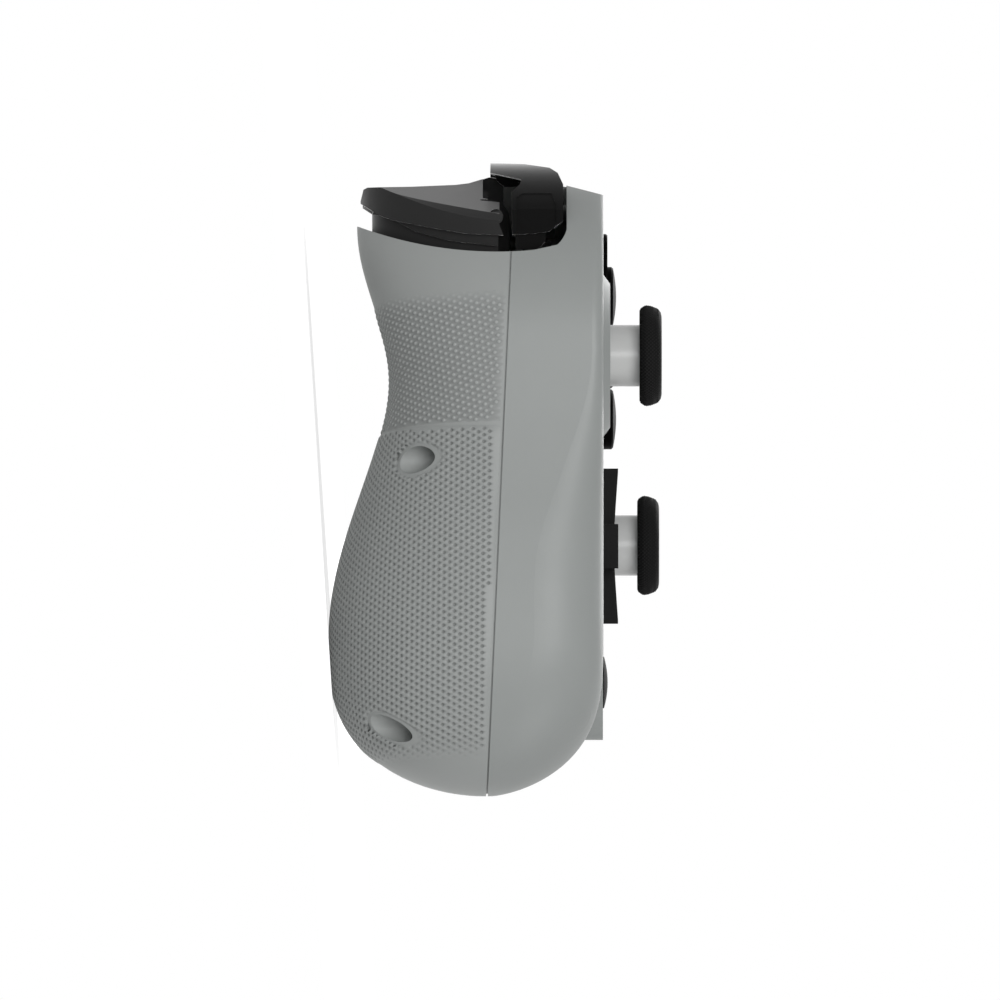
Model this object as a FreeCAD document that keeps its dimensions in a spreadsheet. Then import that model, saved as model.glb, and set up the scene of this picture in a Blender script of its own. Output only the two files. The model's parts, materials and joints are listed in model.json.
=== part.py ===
import FreeCAD, Part
import math
import os
import types

import Sketcher

# A two-handed gamepad, modelled face up. Every piece is drawn in the frame of the flat face:
# X to the player's right, Y towards the shoulders, Z out of the face, the face at Z = 0.
# At the end the whole pad leans back a little, so that it lies on its grips and its shoulders.

Vector = FreeCAD.Vector

DRIVING_SIZES = {
    # outline of the housing
    "shoulder_height": 51.1,
    "corner_height": 22.0,
    "corner_width": 26.0,
    "shoulder_half_width": 72.0,
    "grip_half_width": 78.0,
    "grip_reach": 54.95,
    "bulge_drop": 27.0,
    "face_slant_rise": 1.75,
    "face_slant_depth": 6.6,
    # depth of the housing behind the face
    "shoulder_depth": 42.7,
    "waist_depth": 36.9,
    "waist_height": 16.5,
    "shoulder_run": 27.0,
    "bulge_depth": 47.25,
    "panel_depth": 28.0,
    "seam_depth": 17.6,
    "seam_slope": 0.044,
    "seam_gap": 0.3,
    "seam_groove": 0.45,
    "shell_wall": 2.0,
    "shell_clearance": 0.3,
    # lower corners of the centre body and the arch between them
    "leg_reach": 45.3,
    "leg_inner": 26.0,
    "leg_outer": 38.0,
    "arch_height": 29.5,
    "panel_round": 6.0,
    "leg_outer_round": 4.0,
    "leg_inner_round": 3.0,
    # shallow flat field in the rear panel
    "field_width": 36.0,
    "field_length": 20.0,
    "field_height": 8.0,
    "field_depth": 0.35,
    "field_round": 2.0,
    "field_chamfer": 0.25,
    # trigger and bumper pocket
    "pocket_inner": 21.0,
    "rim_rear_height": 43.9,
    "rim_middle_height": 40.4,
    "rim_front_height": 39.75,
    "flange_depth": 6.35,
    "liner_drop": 1.3,
    "liner_wall": 1.6,
    "liner_sink": 2.0,
    # sticks
    "stick_spacing": 50.0,
    "stick_height": 21.5,
    "right_stick_spacing": 44.0,
    "low_row_height": -11.55,
    "stick_pivot_depth": 10.5,
    "cap_radius": 8.63,
    "cap_underside": 6.3,
    "cap_thickness": 3.85,
    "cap_dish": 0.9,
    "cap_chamfer": 0.75,
    "cap_chamfer_rise": 1.05,
    "cap_round": 1.95,
    "stem_radius": 5.33,
    "stem_socket": 2.0,
    "dome_radius": 12.9,
    "dome_wall": 1.0,
    "collar_base_radius": 14.1,
    "collar_top_radius": 12.5,
    "collar_opening": 10.5,
    "collar_rise": 1.2,
    "module_half_width": 7.8,
    "module_wall": 1.0,
    "module_rise": 3.2,
    "pin_radius": 1.0,
    "pin_clearance": 0.05,
    "bow_inner_radius": 5.3,
    "bow_outer_radius": 6.5,
    "bow_half_width": 3.4,
    "shaft_radius": 1.9,
    "shaft_clearance": 0.25,
    "tongue_half_width": 1.5,
    "yoke_half_length": 4.7,
    "yoke_half_width": 2.5,
    "yoke_half_height": 1.6,
    "saddle_plate_inner": 5.0,
    "saddle_plate_outer": 6.4,
    "saddle_half_width": 2.4,
    "click_travel": 0.5,
    # buttons
    "face_ring_radius": 10.8,
    "face_button_radius": 5.3,
    "face_button_side": 2.0,
    "face_button_dome": 0.6,
    "face_button_travel": 1.5,
    "button_clearance": 0.2,
    "button_flange": 1.2,
    "button_flange_thickness": 1.0,
    "button_foot_depth": 11.8,
    "pad_sheet": 0.8,
    "pad_dome_radius": 4.6,
    "small_button_radius": 4.5,
    "small_button_rise": 0.85,
    "select_spacing": 13.5,
    "select_height": 38.4,
    "capture_spacing": 30.5,
    "capture_height": -35.3,
    "small_foot_depth": 12.0,
    "small_foot_radius": 1.8,
    # directional pad
    "dpad_half_span": 13.48,
    "dpad_arm": 7.7,
    "dpad_tip_rise": 2.6,
    "dpad_centre_rise": 1.6,
    "dpad_clearance": 0.45,
    "dpad_flange": 1.3,
    "dpad_flange_top": 3.9,
    "dpad_flange_bottom": 5.0,
    "dpad_pivot_depth": 3.0,
    "dpad_ball_radius": 2.2,
    # board
    "board_depth": 16.0,
    "board_thickness": 1.6,
    "board_half_width": 63.0,
    "board_top": 35.5,
    "board_bottom": -24.3,
    "switch_half_width": 2.6,
    "switch_height": 2.6,
    "switch_knob_radius": 1.4,
    "board_screw_radius": 0.85,
    "board_screw_length": 8.0,
    "board_screw_head": 1.9,
    "board_screw_head_height": 1.1,
    # trigger and bumper
    "trigger_pin_depth": 18.6,
    "trigger_pin_height": 45.6,
    "trigger_pin_radius": 1.25,
    "trigger_wall": 1.7,
    "trigger_top": 52.4,
    "lip_outer": 1.5,
    "skirt_outer": 2.6,
    "skirt_inner": 3.7,
    "bumper_top": 54.95,
    "bumper_wall": 1.5,
    "bumper_pin_x": 25.5,
    "bumper_pin_height": 46.2,
    "bumper_pin_radius": 1.6,
    "ear_radius": 2.3,
    "lever_rib": 1.2,
    "lever_outer_gap": 0.45,
    # grip screws
    "grip_screw_x": 68.4,
    "grip_screw_upper": 3.4,
    "grip_screw_lower": -43.0,
    "recess_radius": 2.4,
    "recess_floor_depth": 24.5,
    "boss_radius": 4.0,
    "screw_head_radius": 2.2,
    "screw_head_height": 1.5,
    "screw_radius": 1.15,
    "screw_pilot_radius": 1.2,
    "screw_length": 13.0,
    # battery, motors and sockets
    "battery_width": 50.0,
    "battery_length": 34.0,
    "battery_height": 6.4,
    "battery_edge": 2.5,
    "motor_radius": 6.0,
    "motor_length": 14.0,
    "motor_x": 57.0,
    "motor_height": -27.0,
    "motor_depth": 31.0,
    "weight_radius": 7.5,
    "weight_thickness": 5.0,
    "motor_shaft_radius": 1.0,
    "jack_bore_radius": 1.8,
    "jack_depth": 12.9,
    "jack_collar_radius": 2.9,
    "jack_collar_length": 5.8,
    "jack_body_half_width": 3.2,
    "jack_body_rise": 3.0,
    "jack_body_length": 11.0,
    "jack_bore_length": 12.5,
    "usb_half_width": 4.5,
    "usb_half_height": 1.6,
    "usb_depth": 14.2,
    "usb_length": 7.4,
    "usb_inset": 0.6,
    "usb_tongue_half_width": 3.3,
    "usb_tongue_thickness": 0.7,
}


class Size(float):
    """A number that remembers how it is written from the sheet's cells."""

    def __new__(cls, value, text):
        made = float.__new__(cls, value)
        made.text = text
        return made

    def __add__(self, other):
        return joined(self, "+", other, float(self) + float(other))

    def __radd__(self, other):
        return joined(other, "+", self, float(other) + float(self))

    def __sub__(self, other):
        return joined(self, "-", other, float(self) - float(other))

    def __rsub__(self, other):
        return joined(other, "-", self, float(other) - float(self))

    def __mul__(self, other):
        return joined(self, "*", other, float(self) * float(other))

    def __rmul__(self, other):
        return joined(other, "*", self, float(other) * float(self))

    def __truediv__(self, other):
        return joined(self, "/", other, float(self) / float(other))

    def __neg__(self):
        return joined(0.0, "-", self, -float(self))


def written(number):
    """The expression for a number: the sheet's cells it comes from, or the plain figure."""
    if isinstance(number, Size):
        return number.text
    return "(%.5f)" % number


def joined(left, sign, right, value):
    return Size(value, "(%s %s %s)" % (written(left), sign, written(right)))


doc = FreeCAD.newDocument("Gamepad")
sheet = doc.addObject("Spreadsheet::Sheet", "Sizes")
for row, (alias, value) in enumerate(DRIVING_SIZES.items(), start=1):
    sheet.set("A%d" % row, alias)
    sheet.set("B%d" % row, str(value))
    sheet.setAlias("B%d" % row, alias)
doc.recompute()
dim = types.SimpleNamespace(
    **{alias: Size(value, "Sizes." + alias) for alias, value in DRIVING_SIZES.items()}
)

subparts = []


# Helpers for sketched pieces


def new_body(label, x=0.0, y=0.0, z=0.0):
    body = doc.addObject("PartDesign::Body", label)
    body.Label = label
    subparts.append((body, Vector(x, y, z)))
    return body


def origin_plane(body, role):
    planes = [plane for plane in body.Origin.OriginFeatures if plane.Role == role]
    return planes[0]


def new_sketch(body, role, offset=0.0):
    sketch = body.newObject("Sketcher::SketchObject", body.Label + "_sketch")
    sketch.AttachmentSupport = [(origin_plane(body, role), "")]
    sketch.MapMode = "FlatFace"
    sketch.setExpression("AttachmentOffset.Base.z", written(offset))
    return sketch


def hold(sketch, kind, geometry, point, number):
    """Bind one coordinate of a sketch point to the sheet."""
    index = sketch.addConstraint(Sketcher.Constraint(kind, geometry, point, float(number)))
    if isinstance(number, Size):
        sketch.setExpression("Constraints[%d]" % index, number.text)


def draw_outline(sketch, corners):
    """Close an outline. A corner is (x, y), or (x, y, (mx, my)) where an arc starts towards the next
    corner through the middle point."""
    points = [Vector(corner[0], corner[1], 0) for corner in corners]
    ends = []
    for number, corner in enumerate(corners):
        start = points[number]
        end = points[(number + 1) % len(points)]
        if len(corner) == 3:
            middle = Vector(corner[2][0], corner[2][1], 0)
            edge = sketch.addGeometry(Part.Arc(start, middle, end))
        else:
            edge = sketch.addGeometry(Part.LineSegment(start, end))
        forward = sketch.getPoint(edge, 1).distanceToPoint(start) < 1e-6
        ends.append((edge, 1, 2) if forward else (edge, 2, 1))
    for number, corner in enumerate(corners):
        edge, first, last = ends[number]
        following = ends[(number + 1) % len(ends)]
        sketch.addConstraint(
            Sketcher.Constraint("Coincident", edge, last, following[0], following[1])
        )
        hold(sketch, "DistanceX", edge, first, corner[0])
        hold(sketch, "DistanceY", edge, first, corner[1])


def draw_circle(sketch, x, y, radius):
    circle = sketch.addGeometry(Part.Circle(Vector(x, y, 0), Vector(0, 0, 1), float(radius)))
    index = sketch.addConstraint(Sketcher.Constraint("Radius", circle, float(radius)))
    if isinstance(radius, Size):
        sketch.setExpression("Constraints[%d]" % index, radius.text)
    hold(sketch, "DistanceX", circle, 3, x)
    hold(sketch, "DistanceY", circle, 3, y)


def sphere_middle(radius, rise, height):
    """A point half way along a spherical arc that rises from the height at the axis to the radius."""
    ball = (radius**2 + rise**2) / (2 * abs(rise))
    half = radius / 2
    lift = ball - math.sqrt(ball**2 - half**2)
    return (half, height + math.copysign(lift, rise))


def box_outline(half_x, half_y, x=0.0, y=0.0):
    return [
        (x - half_x, y - half_y),
        (x + half_x, y - half_y),
        (x + half_x, y + half_y),
        (x - half_x, y + half_y),
    ]


def pad(body, sketch, length, midplane=False, reverse=False):
    feature = body.newObject("PartDesign::Pad", body.Label + "_pad")
    feature.Profile = sketch
    feature.Midplane = midplane
    feature.Reversed = reverse
    feature.setExpression("Length", written(length))
    doc.recompute()
    return feature


def pocket(body, sketch, length, midplane=False, reverse=False):
    """Cut a sketch into the body and make sure that it removes something."""
    before = body.Shape.Volume
    feature = body.newObject("PartDesign::Pocket", body.Label + "_pocket")
    feature.Profile = sketch
    feature.Midplane = midplane
    feature.Reversed = reverse
    feature.setExpression("Length", written(length))
    doc.recompute()
    if body.Shape.Volume > before - 1e-3:
        raise ValueError("a pocket of %s cuts nothing" % body.Label)
    return feature


def turn(body, corners):
    """Revolve an outline of (radius, height) corners about the vertical axis."""
    sketch = new_sketch(body, "XZ_Plane")
    draw_outline(sketch, corners)
    feature = body.newObject("PartDesign::Revolution", body.Label + "_turned")
    feature.Profile = sketch
    feature.ReferenceAxis = (sketch, ["V_Axis"])
    feature.Angle = 360.0
    doc.recompute()
    return feature


def hollow_turn(body, corners):
    """Groove an outline of (radius, height) corners out of the body."""
    before = body.Shape.Volume
    sketch = new_sketch(body, "XZ_Plane")
    draw_outline(sketch, corners)
    feature = body.newObject("PartDesign::Groove", body.Label + "_groove")
    feature.Profile = sketch
    feature.ReferenceAxis = (sketch, ["V_Axis"])
    feature.Angle = 360.0
    doc.recompute()
    if body.Shape.Volume > before - 1e-3:
        raise ValueError("a groove of %s cuts nothing" % body.Label)
    return feature


def new_feature(label, shape):
    feature = doc.addObject("Part::Feature", label)
    feature.Label = label
    feature.Shape = shape
    subparts.append((feature, Vector(0, 0, 0)))
    return feature


# Helpers for curved pieces


def block(x_low, x_high, y_low, y_high, z_low, z_high):
    return Part.makeBox(
        x_high - x_low, y_high - y_low, z_high - z_low, Vector(x_low, y_low, z_low)
    )


def upright(radius, x, y, z_low, z_high):
    """A cylinder along Z."""
    return Part.makeCylinder(radius, z_high - z_low, Vector(x, y, z_low))


def mirrored(shape):
    """The same piece on the other side of the pad."""
    return shape.mirror(Vector(0, 0, 0), Vector(1, 0, 0))


def carried(wire, direction):
    """A closed wire carried along a direction, with its faces pointing outwards."""
    solid = Part.Face(wire).extrude(direction)
    if solid.Volume < 0:
        solid.reverse()
    return solid


def prism(points, x_low, x_high):
    """A side profile of (y, z) points carried along X."""
    wire = Part.makePolygon([Vector(x_low, y, z) for y, z in points + points[:1]])
    return carried(wire, Vector(x_high - x_low, 0, 0))


def eased(share):
    share = min(max(share, 0.0), 1.0)
    return share * share * (3.0 - 2.0 * share)


def between(start, end, share):
    return start + (end - start) * share


def vault(share, power, root=0.5):
    return max(1.0 - share**power, 0.0) ** root


# The outer form of the housing

RIDGE_INSET_TOP = 18.0
RIDGE_INSET_LOW = 24.0
PANEL_HALF_TOP = 14.0
PANEL_HALF_LOW = 36.0
RIDGE_LOW_X = 54.0
FACE_ROUND_TOP = 2.0
FACE_ROUND_LOW = 9.0
FACE_ROUND_DEEP = 12.0


def half_width(y):
    """Half the width of the housing at a height on the face."""
    if y > dim.corner_height:
        rise = dim.shoulder_height - dim.corner_height
        reach = min((y - dim.corner_height) / rise, 0.995)
        inner = dim.shoulder_half_width - dim.corner_width
        return inner + dim.corner_width * math.sqrt(1.0 - reach * reach)
    spread = (dim.corner_height - y) / (dim.corner_height + dim.bulge_drop)
    return between(dim.shoulder_half_width, dim.grip_half_width, eased(spread))


def rear_depth(y):
    """How far the rear ridge lies behind the face."""
    if y > dim.waist_height:
        share = eased((y - dim.waist_height) / dim.shoulder_run)
        return between(dim.waist_depth, dim.shoulder_depth, share)
    share = (dim.waist_height - y) / (dim.waist_height + dim.bulge_drop)
    return between(dim.waist_depth, dim.bulge_depth, eased(share**0.88))


def seam_height(y):
    """Z of the joint between the front and the rear shell."""
    return -dim.seam_depth + dim.seam_slope * y


def quarter_round(corner, start, end):
    """A quarter ellipse from start to end, bulging towards the corner point."""
    curve = Part.BSplineCurve()
    curve.buildFromPolesMultsKnots(
        [start, corner, end], [3, 3], [0, 1], False, 2, [1, math.sqrt(0.5), 1]
    )
    return curve.toShape()


def free_curve(points):
    curve = Part.BezierCurve()
    curve.setPoles(points)
    return curve.toShape()


def straight(start, end):
    return Part.LineSegment(start, end).toShape()


def centre_section(y, inset=0.0):
    """The closed outline of the housing at one height, seen from the shoulders."""
    outer = half_width(y) - inset
    front = -inset
    rear = -rear_depth(y) + inset
    seam = seam_height(y)
    lowness = eased((dim.corner_height - y) / 40.0)
    ridge = half_width(y) - between(RIDGE_INSET_TOP, RIDGE_INSET_LOW, lowness)
    round_x = max(between(FACE_ROUND_TOP, FACE_ROUND_LOW, lowness) - inset, 0.4)
    round_z = max(between(FACE_ROUND_TOP, FACE_ROUND_DEEP, lowness) - inset, 0.4)
    flatness = eased((y + dim.bulge_drop) / 32.0)
    panel = between(PANEL_HALF_LOW, PANEL_HALF_TOP, eased((y + dim.bulge_drop) / 70.0))
    panel += inset * (1.0 - flatness)
    panel_z = -dim.panel_depth + inset

    def side(sign):
        def at(x, z):
            return Vector(sign * x, y, z)

        rim = at(outer, front - round_z)
        ridge_point = at(ridge, rear)
        flank = at(ridge - 0.5 * (ridge - panel), rear)
        foot_x = panel + flatness * 0.45 * (ridge - panel)
        foot = at(foot_x, panel_z - (1.0 - flatness) * 0.55 * (panel_z - rear))
        return [
            straight(at(0, front), at(outer - round_x, front)),
            quarter_round(at(outer, front), at(outer - round_x, front), rim),
            straight(rim, at(outer, seam)),
            quarter_round(at(outer, rear), at(outer, seam), ridge_point),
            free_curve([ridge_point, flank, foot, at(panel, panel_z)]),
            straight(at(panel, panel_z), at(0, panel_z)),
        ]

    return Part.Wire(side(1) + list(reversed(side(-1))))


def grip_section(y, inset=0.0):
    """The closed outline of the right grip below its bulge."""
    length = dim.grip_reach - dim.bulge_drop - inset
    share = min(max((-dim.bulge_drop - y) / length, 0.0), 1.0)
    seam = seam_height(y)
    seam_at_bulge = seam_height(-dim.bulge_drop)
    outer = RIDGE_LOW_X + (dim.grip_half_width - RIDGE_LOW_X - inset) * vault(share, 2.4)
    inner = RIDGE_LOW_X - (RIDGE_LOW_X - PANEL_HALF_LOW - inset) * vault(share, 2.2)
    swell = vault(share, 2.6)
    rear = seam - (dim.bulge_depth + seam_at_bulge - inset) * swell
    inner_rear = seam - (dim.panel_depth + seam_at_bulge - inset) * swell
    front = seam + (-seam - inset) * vault(share, 3.2, 0.62)
    late = eased(share)

    def rounding(size, room, reach):
        return between(size / room, 0.95, late) * reach

    reach_out = dim.grip_half_width - RIDGE_LOW_X
    round_x = rounding(max(FACE_ROUND_LOW - inset, 0.4), reach_out - inset, outer - RIDGE_LOW_X)
    round_z = rounding(max(FACE_ROUND_DEEP - inset, 0.4), -seam_at_bulge - inset, front - seam)
    inner_x = rounding(3.0, RIDGE_LOW_X - PANEL_HALF_LOW, RIDGE_LOW_X - inner)
    inner_z = rounding(3.0, -seam_at_bulge, front - seam)

    def at(x, z):
        return Vector(x, y, z)

    rim = at(outer, front - round_z)
    ridge_point = at(RIDGE_LOW_X, rear)
    flank = at(RIDGE_LOW_X - 0.5 * (RIDGE_LOW_X - inner), rear)
    foot = at(inner, inner_rear - 0.55 * (inner_rear - rear))
    inner_rim = at(inner, front - inner_z)
    start = at(inner + inner_x, front)
    return Part.Wire(
        [
            straight(start, at(outer - round_x, front)),
            quarter_round(at(outer, front), at(outer - round_x, front), rim),
            straight(rim, at(outer, seam)),
            quarter_round(at(outer, rear), at(outer, seam), ridge_point),
            free_curve([ridge_point, flank, foot, at(inner, inner_rear)]),
            straight(at(inner, inner_rear), inner_rim),
            quarter_round(at(inner, front), inner_rim, start),
        ]
    )


CENTRE_STATIONS = [50.2, 48.8, 46.5, 43, 38, 32, 26, 20, 12, 4, -5, -14, -21]
GRIP_SHARES = [0, 0.12, 0.26, 0.40, 0.53, 0.65, 0.75, 0.84, 0.91, 0.96, 0.985, 0.998]


def housing_form(inset, top):
    """Centre and both grips as one solid, drawn in by the inset."""
    bulge = -dim.bulge_drop
    stations = [top] + [y for y in CENTRE_STATIONS if y < top - 0.5] + [bulge]
    centre = Part.makeLoft([centre_section(y, inset) for y in stations], True, False)
    length = dim.grip_reach - dim.bulge_drop - inset
    sections = [grip_section(bulge - length * share, inset) for share in GRIP_SHARES]
    grip = Part.makeLoft(sections, True, False)
    return centre.fuse([grip, mirrored(grip)])


def lower_centre(inset):
    """The lower edge of the centre body: an arch between two corners that reach down to the grips."""
    low = -dim.leg_reach + inset
    high = -dim.bulge_drop + 4.0
    outer = dim.leg_outer - inset * 0.5
    inner = dim.leg_inner + inset
    apex = -dim.arch_height + inset
    front = -inset
    outline = [
        straight(Vector(-outer, high, front), Vector(-outer, low, front)),
        straight(Vector(-outer, low, front), Vector(-inner, low, front)),
        Part.Arc(
            Vector(-inner, low, front), Vector(0, apex, front), Vector(inner, low, front)
        ).toShape(),
        straight(Vector(inner, low, front), Vector(outer, low, front)),
        straight(Vector(outer, low, front), Vector(outer, high, front)),
        straight(Vector(outer, high, front), Vector(-outer, high, front)),
    ]
    depth = dim.panel_depth - 2 * inset
    form = carried(Part.Wire(outline), Vector(0, 0, -depth))
    for corner_x, corner_round in (
        (outer, dim.leg_outer_round - inset * 0.5),
        (inner, dim.leg_inner_round + inset * 0.5),
    ):
        corner_edges = [
            edge
            for edge in form.Edges
            if abs(abs(edge.CenterOfMass.x) - corner_x) < 0.01
            and abs(edge.CenterOfMass.y - low) < 0.01
            and edge.BoundBox.ZLength > depth / 2
        ]
        form = form.makeFillet(corner_round, corner_edges)
    rear_edges = [
        edge
        for edge in form.Edges
        if edge.CenterOfMass.z < front - depth + 0.01
        and edge.CenterOfMass.y < apex
        and abs(edge.CenterOfMass.x) < outer - 1.0
    ]
    return form.makeFillet(dim.panel_round - inset, rear_edges)


def pocket_edges(drop, x, sink):
    """The side profile of the shoulder pocket, lowered into the housing by the drop. The sink
    lowers its rear part further."""
    rear = Vector(x, dim.rim_rear_height - drop - sink, -dim.shoulder_depth + 0.2)
    middle = Vector(x, dim.rim_middle_height - drop - sink, -29.75)
    front = Vector(x, dim.rim_front_height - drop, -12.0)
    flange = -dim.flange_depth + drop
    corner_start = Vector(x, dim.rim_front_height + 0.9 - drop, flange - 1.6)
    corner_middle = Vector(x, dim.rim_front_height + 2.3 - drop, flange - 0.5)
    corner_end = Vector(x, dim.rim_front_height + 6.2 - drop, flange)
    above = dim.bumper_top + 10.0
    outside = -dim.shoulder_depth - 8.0
    return [
        straight(Vector(x, above, outside), Vector(x, rear.y + 0.9, outside)),
        straight(Vector(x, rear.y + 0.9, outside), rear),
        Part.Arc(rear, middle, front).toShape(),
        straight(front, corner_start),
        Part.Arc(corner_start, corner_middle, corner_end).toShape(),
        straight(corner_end, Vector(x, above, flange)),
        straight(Vector(x, above, flange), Vector(x, above, outside)),
    ]


def pocket_form(drop, inner, sink=0.0):
    edges = pocket_edges(drop, inner, sink)
    return carried(Part.Wire(edges), Vector(dim.grip_half_width, 0, 0))


whole = housing_form(0.0, dim.shoulder_height)
whole = whole.fuse(lower_centre(0.0))
slant_top = [
    (dim.shoulder_height, -dim.face_slant_depth),
    (dim.shoulder_height - dim.face_slant_rise * 1.1, 0.6),
    (dim.shoulder_height + 5.0, 5.0),
    (dim.shoulder_height + 5.0, -dim.face_slant_depth),
]
whole = whole.cut(prism(slant_top, -dim.grip_half_width, dim.grip_half_width))
round_y = dim.shoulder_height - dim.panel_round
round_z = -dim.panel_depth + dim.panel_round
low_y = round_y - 1.0
past_y = dim.shoulder_height + 5.0
past_z = -dim.shoulder_depth - 5.0
slope = math.sqrt(0.5) * dim.panel_round
top_rear = [
    Part.Arc(
        Vector(-dim.pocket_inner, dim.shoulder_height, round_z),
        Vector(-dim.pocket_inner, round_y + slope, round_z - slope),
        Vector(-dim.pocket_inner, round_y, round_z - dim.panel_round),
    ).toShape(),
    straight(
        Vector(-dim.pocket_inner, round_y, round_z - dim.panel_round),
        Vector(-dim.pocket_inner, low_y, past_z),
    ),
    straight(Vector(-dim.pocket_inner, low_y, past_z), Vector(-dim.pocket_inner, past_y, past_z)),
    straight(Vector(-dim.pocket_inner, past_y, past_z), Vector(-dim.pocket_inner, past_y, round_z)),
    straight(
        Vector(-dim.pocket_inner, past_y, round_z),
        Vector(-dim.pocket_inner, dim.shoulder_height, round_z),
    ),
]
whole = whole.cut(carried(Part.Wire(top_rear), Vector(2 * dim.pocket_inner, 0, 0)))

cavity_top = dim.shoulder_height - 2.7
cavity = housing_form(dim.shell_wall, cavity_top)
cavity = cavity.fuse(lower_centre(dim.shell_wall))
pocket_right = pocket_form(0.0, dim.pocket_inner)
pocket_left = mirrored(pocket_right)
casing = whole.cut([cavity, pocket_right, pocket_left])


def above_seam(lift):
    """Everything on the face side of the joint plane."""
    side = 2.5 * dim.grip_half_width
    half_space = block(-side, side, -side, side, 0, side)
    half_space.rotate(Vector(0, 0, 0), Vector(1, 0, 0), math.degrees(math.atan(dim.seam_slope)))
    half_space.translate(Vector(0, 0, -dim.seam_depth + lift))
    return half_space


inset_form = housing_form(dim.seam_groove, dim.shoulder_height - dim.seam_groove)
front_half = casing.common(above_seam(0.0))
rear_half = casing.cut(above_seam(0.0))
seam_slab = above_seam(-dim.seam_gap).cut(above_seam(0.0))
inset_form = inset_form.fuse(lower_centre(dim.seam_groove))
groove = whole.common(seam_slab).cut(inset_form)
rear_half = rear_half.cut(groove)

# Places on the face

STICKS = {
    "left": (-dim.stick_spacing, dim.stick_height),
    "right": (dim.right_stick_spacing, dim.low_row_height),
}
DPAD = (-dim.right_stick_spacing, dim.low_row_height)
FACE_BUTTONS = {
    "button_east": (dim.stick_spacing + dim.face_ring_radius, dim.stick_height),
    "button_north": (dim.stick_spacing, dim.stick_height + dim.face_ring_radius),
    "button_west": (dim.stick_spacing - dim.face_ring_radius, dim.stick_height),
    "button_south": (dim.stick_spacing, dim.stick_height - dim.face_ring_radius),
}
FLAT_BUTTONS = {
    "select_button": (-dim.select_spacing, dim.select_height),
    "start_button": (dim.select_spacing, dim.select_height),
}
DOMED_BUTTONS = {
    "capture_button": (-dim.capture_spacing, dim.capture_height),
    "home_button": (dim.capture_spacing, dim.capture_height),
}
GRIP_SCREWS = [
    (side * dim.grip_screw_x, y)
    for side in (-1, 1)
    for y in (dim.grip_screw_upper, dim.grip_screw_lower)
]
BOARD_POSTS = [(0.0, 29.5), (-14.0, -19.5), (14.0, -19.5), (-24.0, 8.0), (24.0, 8.0)]
POST_RADIUS = 2.6
board_face = -dim.board_depth
board_back = board_face - dim.board_thickness


def cross_outline(half_span, half_arm):
    quarter = [(half_arm, half_span), (half_arm, half_arm), (half_span, half_arm)]
    corners = []
    for x, y in quarter:
        corners.append((x, y))
    for x, y in reversed(quarter):
        corners.append((x, -y))
    for x, y in quarter:
        corners.append((-x, -y))
    for x, y in reversed(quarter):
        corners.append((-x, y))
    return corners


def cross_prism(grow, z_low, z_high):
    outline = cross_outline(dim.dpad_half_span + grow, dim.dpad_arm / 2 + grow)
    points = [Vector(DPAD[0] + x, DPAD[1] + y, z_low) for x, y in outline]
    return carried(Part.makePolygon(points + points[:1]), Vector(0, 0, z_high - z_low))


def usb_slot(grow, y_low, y_high):
    """A flat tube with round ends along Y, at the charging port's place."""
    height = dim.usb_half_height + grow
    reach = dim.usb_half_width - dim.usb_half_height
    z = -dim.usb_depth
    along = Vector(0, 1, 0)
    length = y_high - y_low
    ends = [
        Part.makeCylinder(height, length, Vector(sign * reach, y_low, z), along)
        for sign in (-1, 1)
    ]
    middle = block(-reach, reach, y_low, y_high, z - height, z + height)
    return middle.fuse(ends)


# Front shell: face, collars, guides and posts

ABOVE_FACE = 6.0
flange_wall = block(
    dim.pocket_inner - 1.6,
    dim.grip_half_width,
    dim.rim_front_height - 2.0,
    dim.shoulder_height + 1.0,
    -dim.flange_depth,
    -dim.flange_depth + 1.5,
).common(whole)
side_wall = block(
    dim.pocket_inner - 1.6,
    dim.pocket_inner,
    dim.rim_front_height - 3.4,
    dim.shoulder_height + 1.0,
    -dim.shoulder_depth - 1.0,
    -1.0,
).common(whole)
upper_space = above_seam(0.0)
bumper_boss = upright(
    dim.bumper_pin_radius, dim.bumper_pin_x, dim.bumper_pin_height, -15.0, -dim.flange_depth + 0.5
)
front_additions = [flange_wall, mirrored(flange_wall)]
front_additions += [side_wall.common(upper_space), mirrored(side_wall).common(upper_space)]
front_additions += [bumper_boss, mirrored(bumper_boss)]
front_cuts = []
for x, y in STICKS.values():
    collar = Part.makeCone(
        dim.collar_base_radius, dim.collar_top_radius, dim.collar_rise, Vector(x, y, 0)
    )
    front_additions.append(collar)
    front_cuts.append(upright(dim.collar_opening, x, y, -ABOVE_FACE, ABOVE_FACE))
for x, y in FACE_BUTTONS.values():
    hole = dim.face_button_radius + dim.button_clearance
    guide_hole = dim.face_button_radius + dim.button_flange + dim.button_clearance
    front_cuts.append(upright(hole, x, y, -ABOVE_FACE, ABOVE_FACE))
    front_cuts.append(upright(guide_hole, x, y, -ABOVE_FACE * 2, -dim.shell_wall))
    guide_end = -dim.shell_wall - 2 * dim.face_button_travel
    front_additions.append(upright(guide_hole + 0.75, x, y, guide_end, -dim.shell_wall + 0.2))
for x, y in list(FLAT_BUTTONS.values()) + list(DOMED_BUTTONS.values()):
    hole = dim.small_button_radius + dim.button_clearance
    front_cuts.append(upright(hole, x, y, -ABOVE_FACE, ABOVE_FACE))
for x, y in BOARD_POSTS:
    front_additions.append(upright(POST_RADIUS, x, y, board_face, -dim.shell_wall + 0.2))
    front_cuts.append(upright(0.9, x, y, board_face - 1.0, board_face + 8.0))
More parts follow.
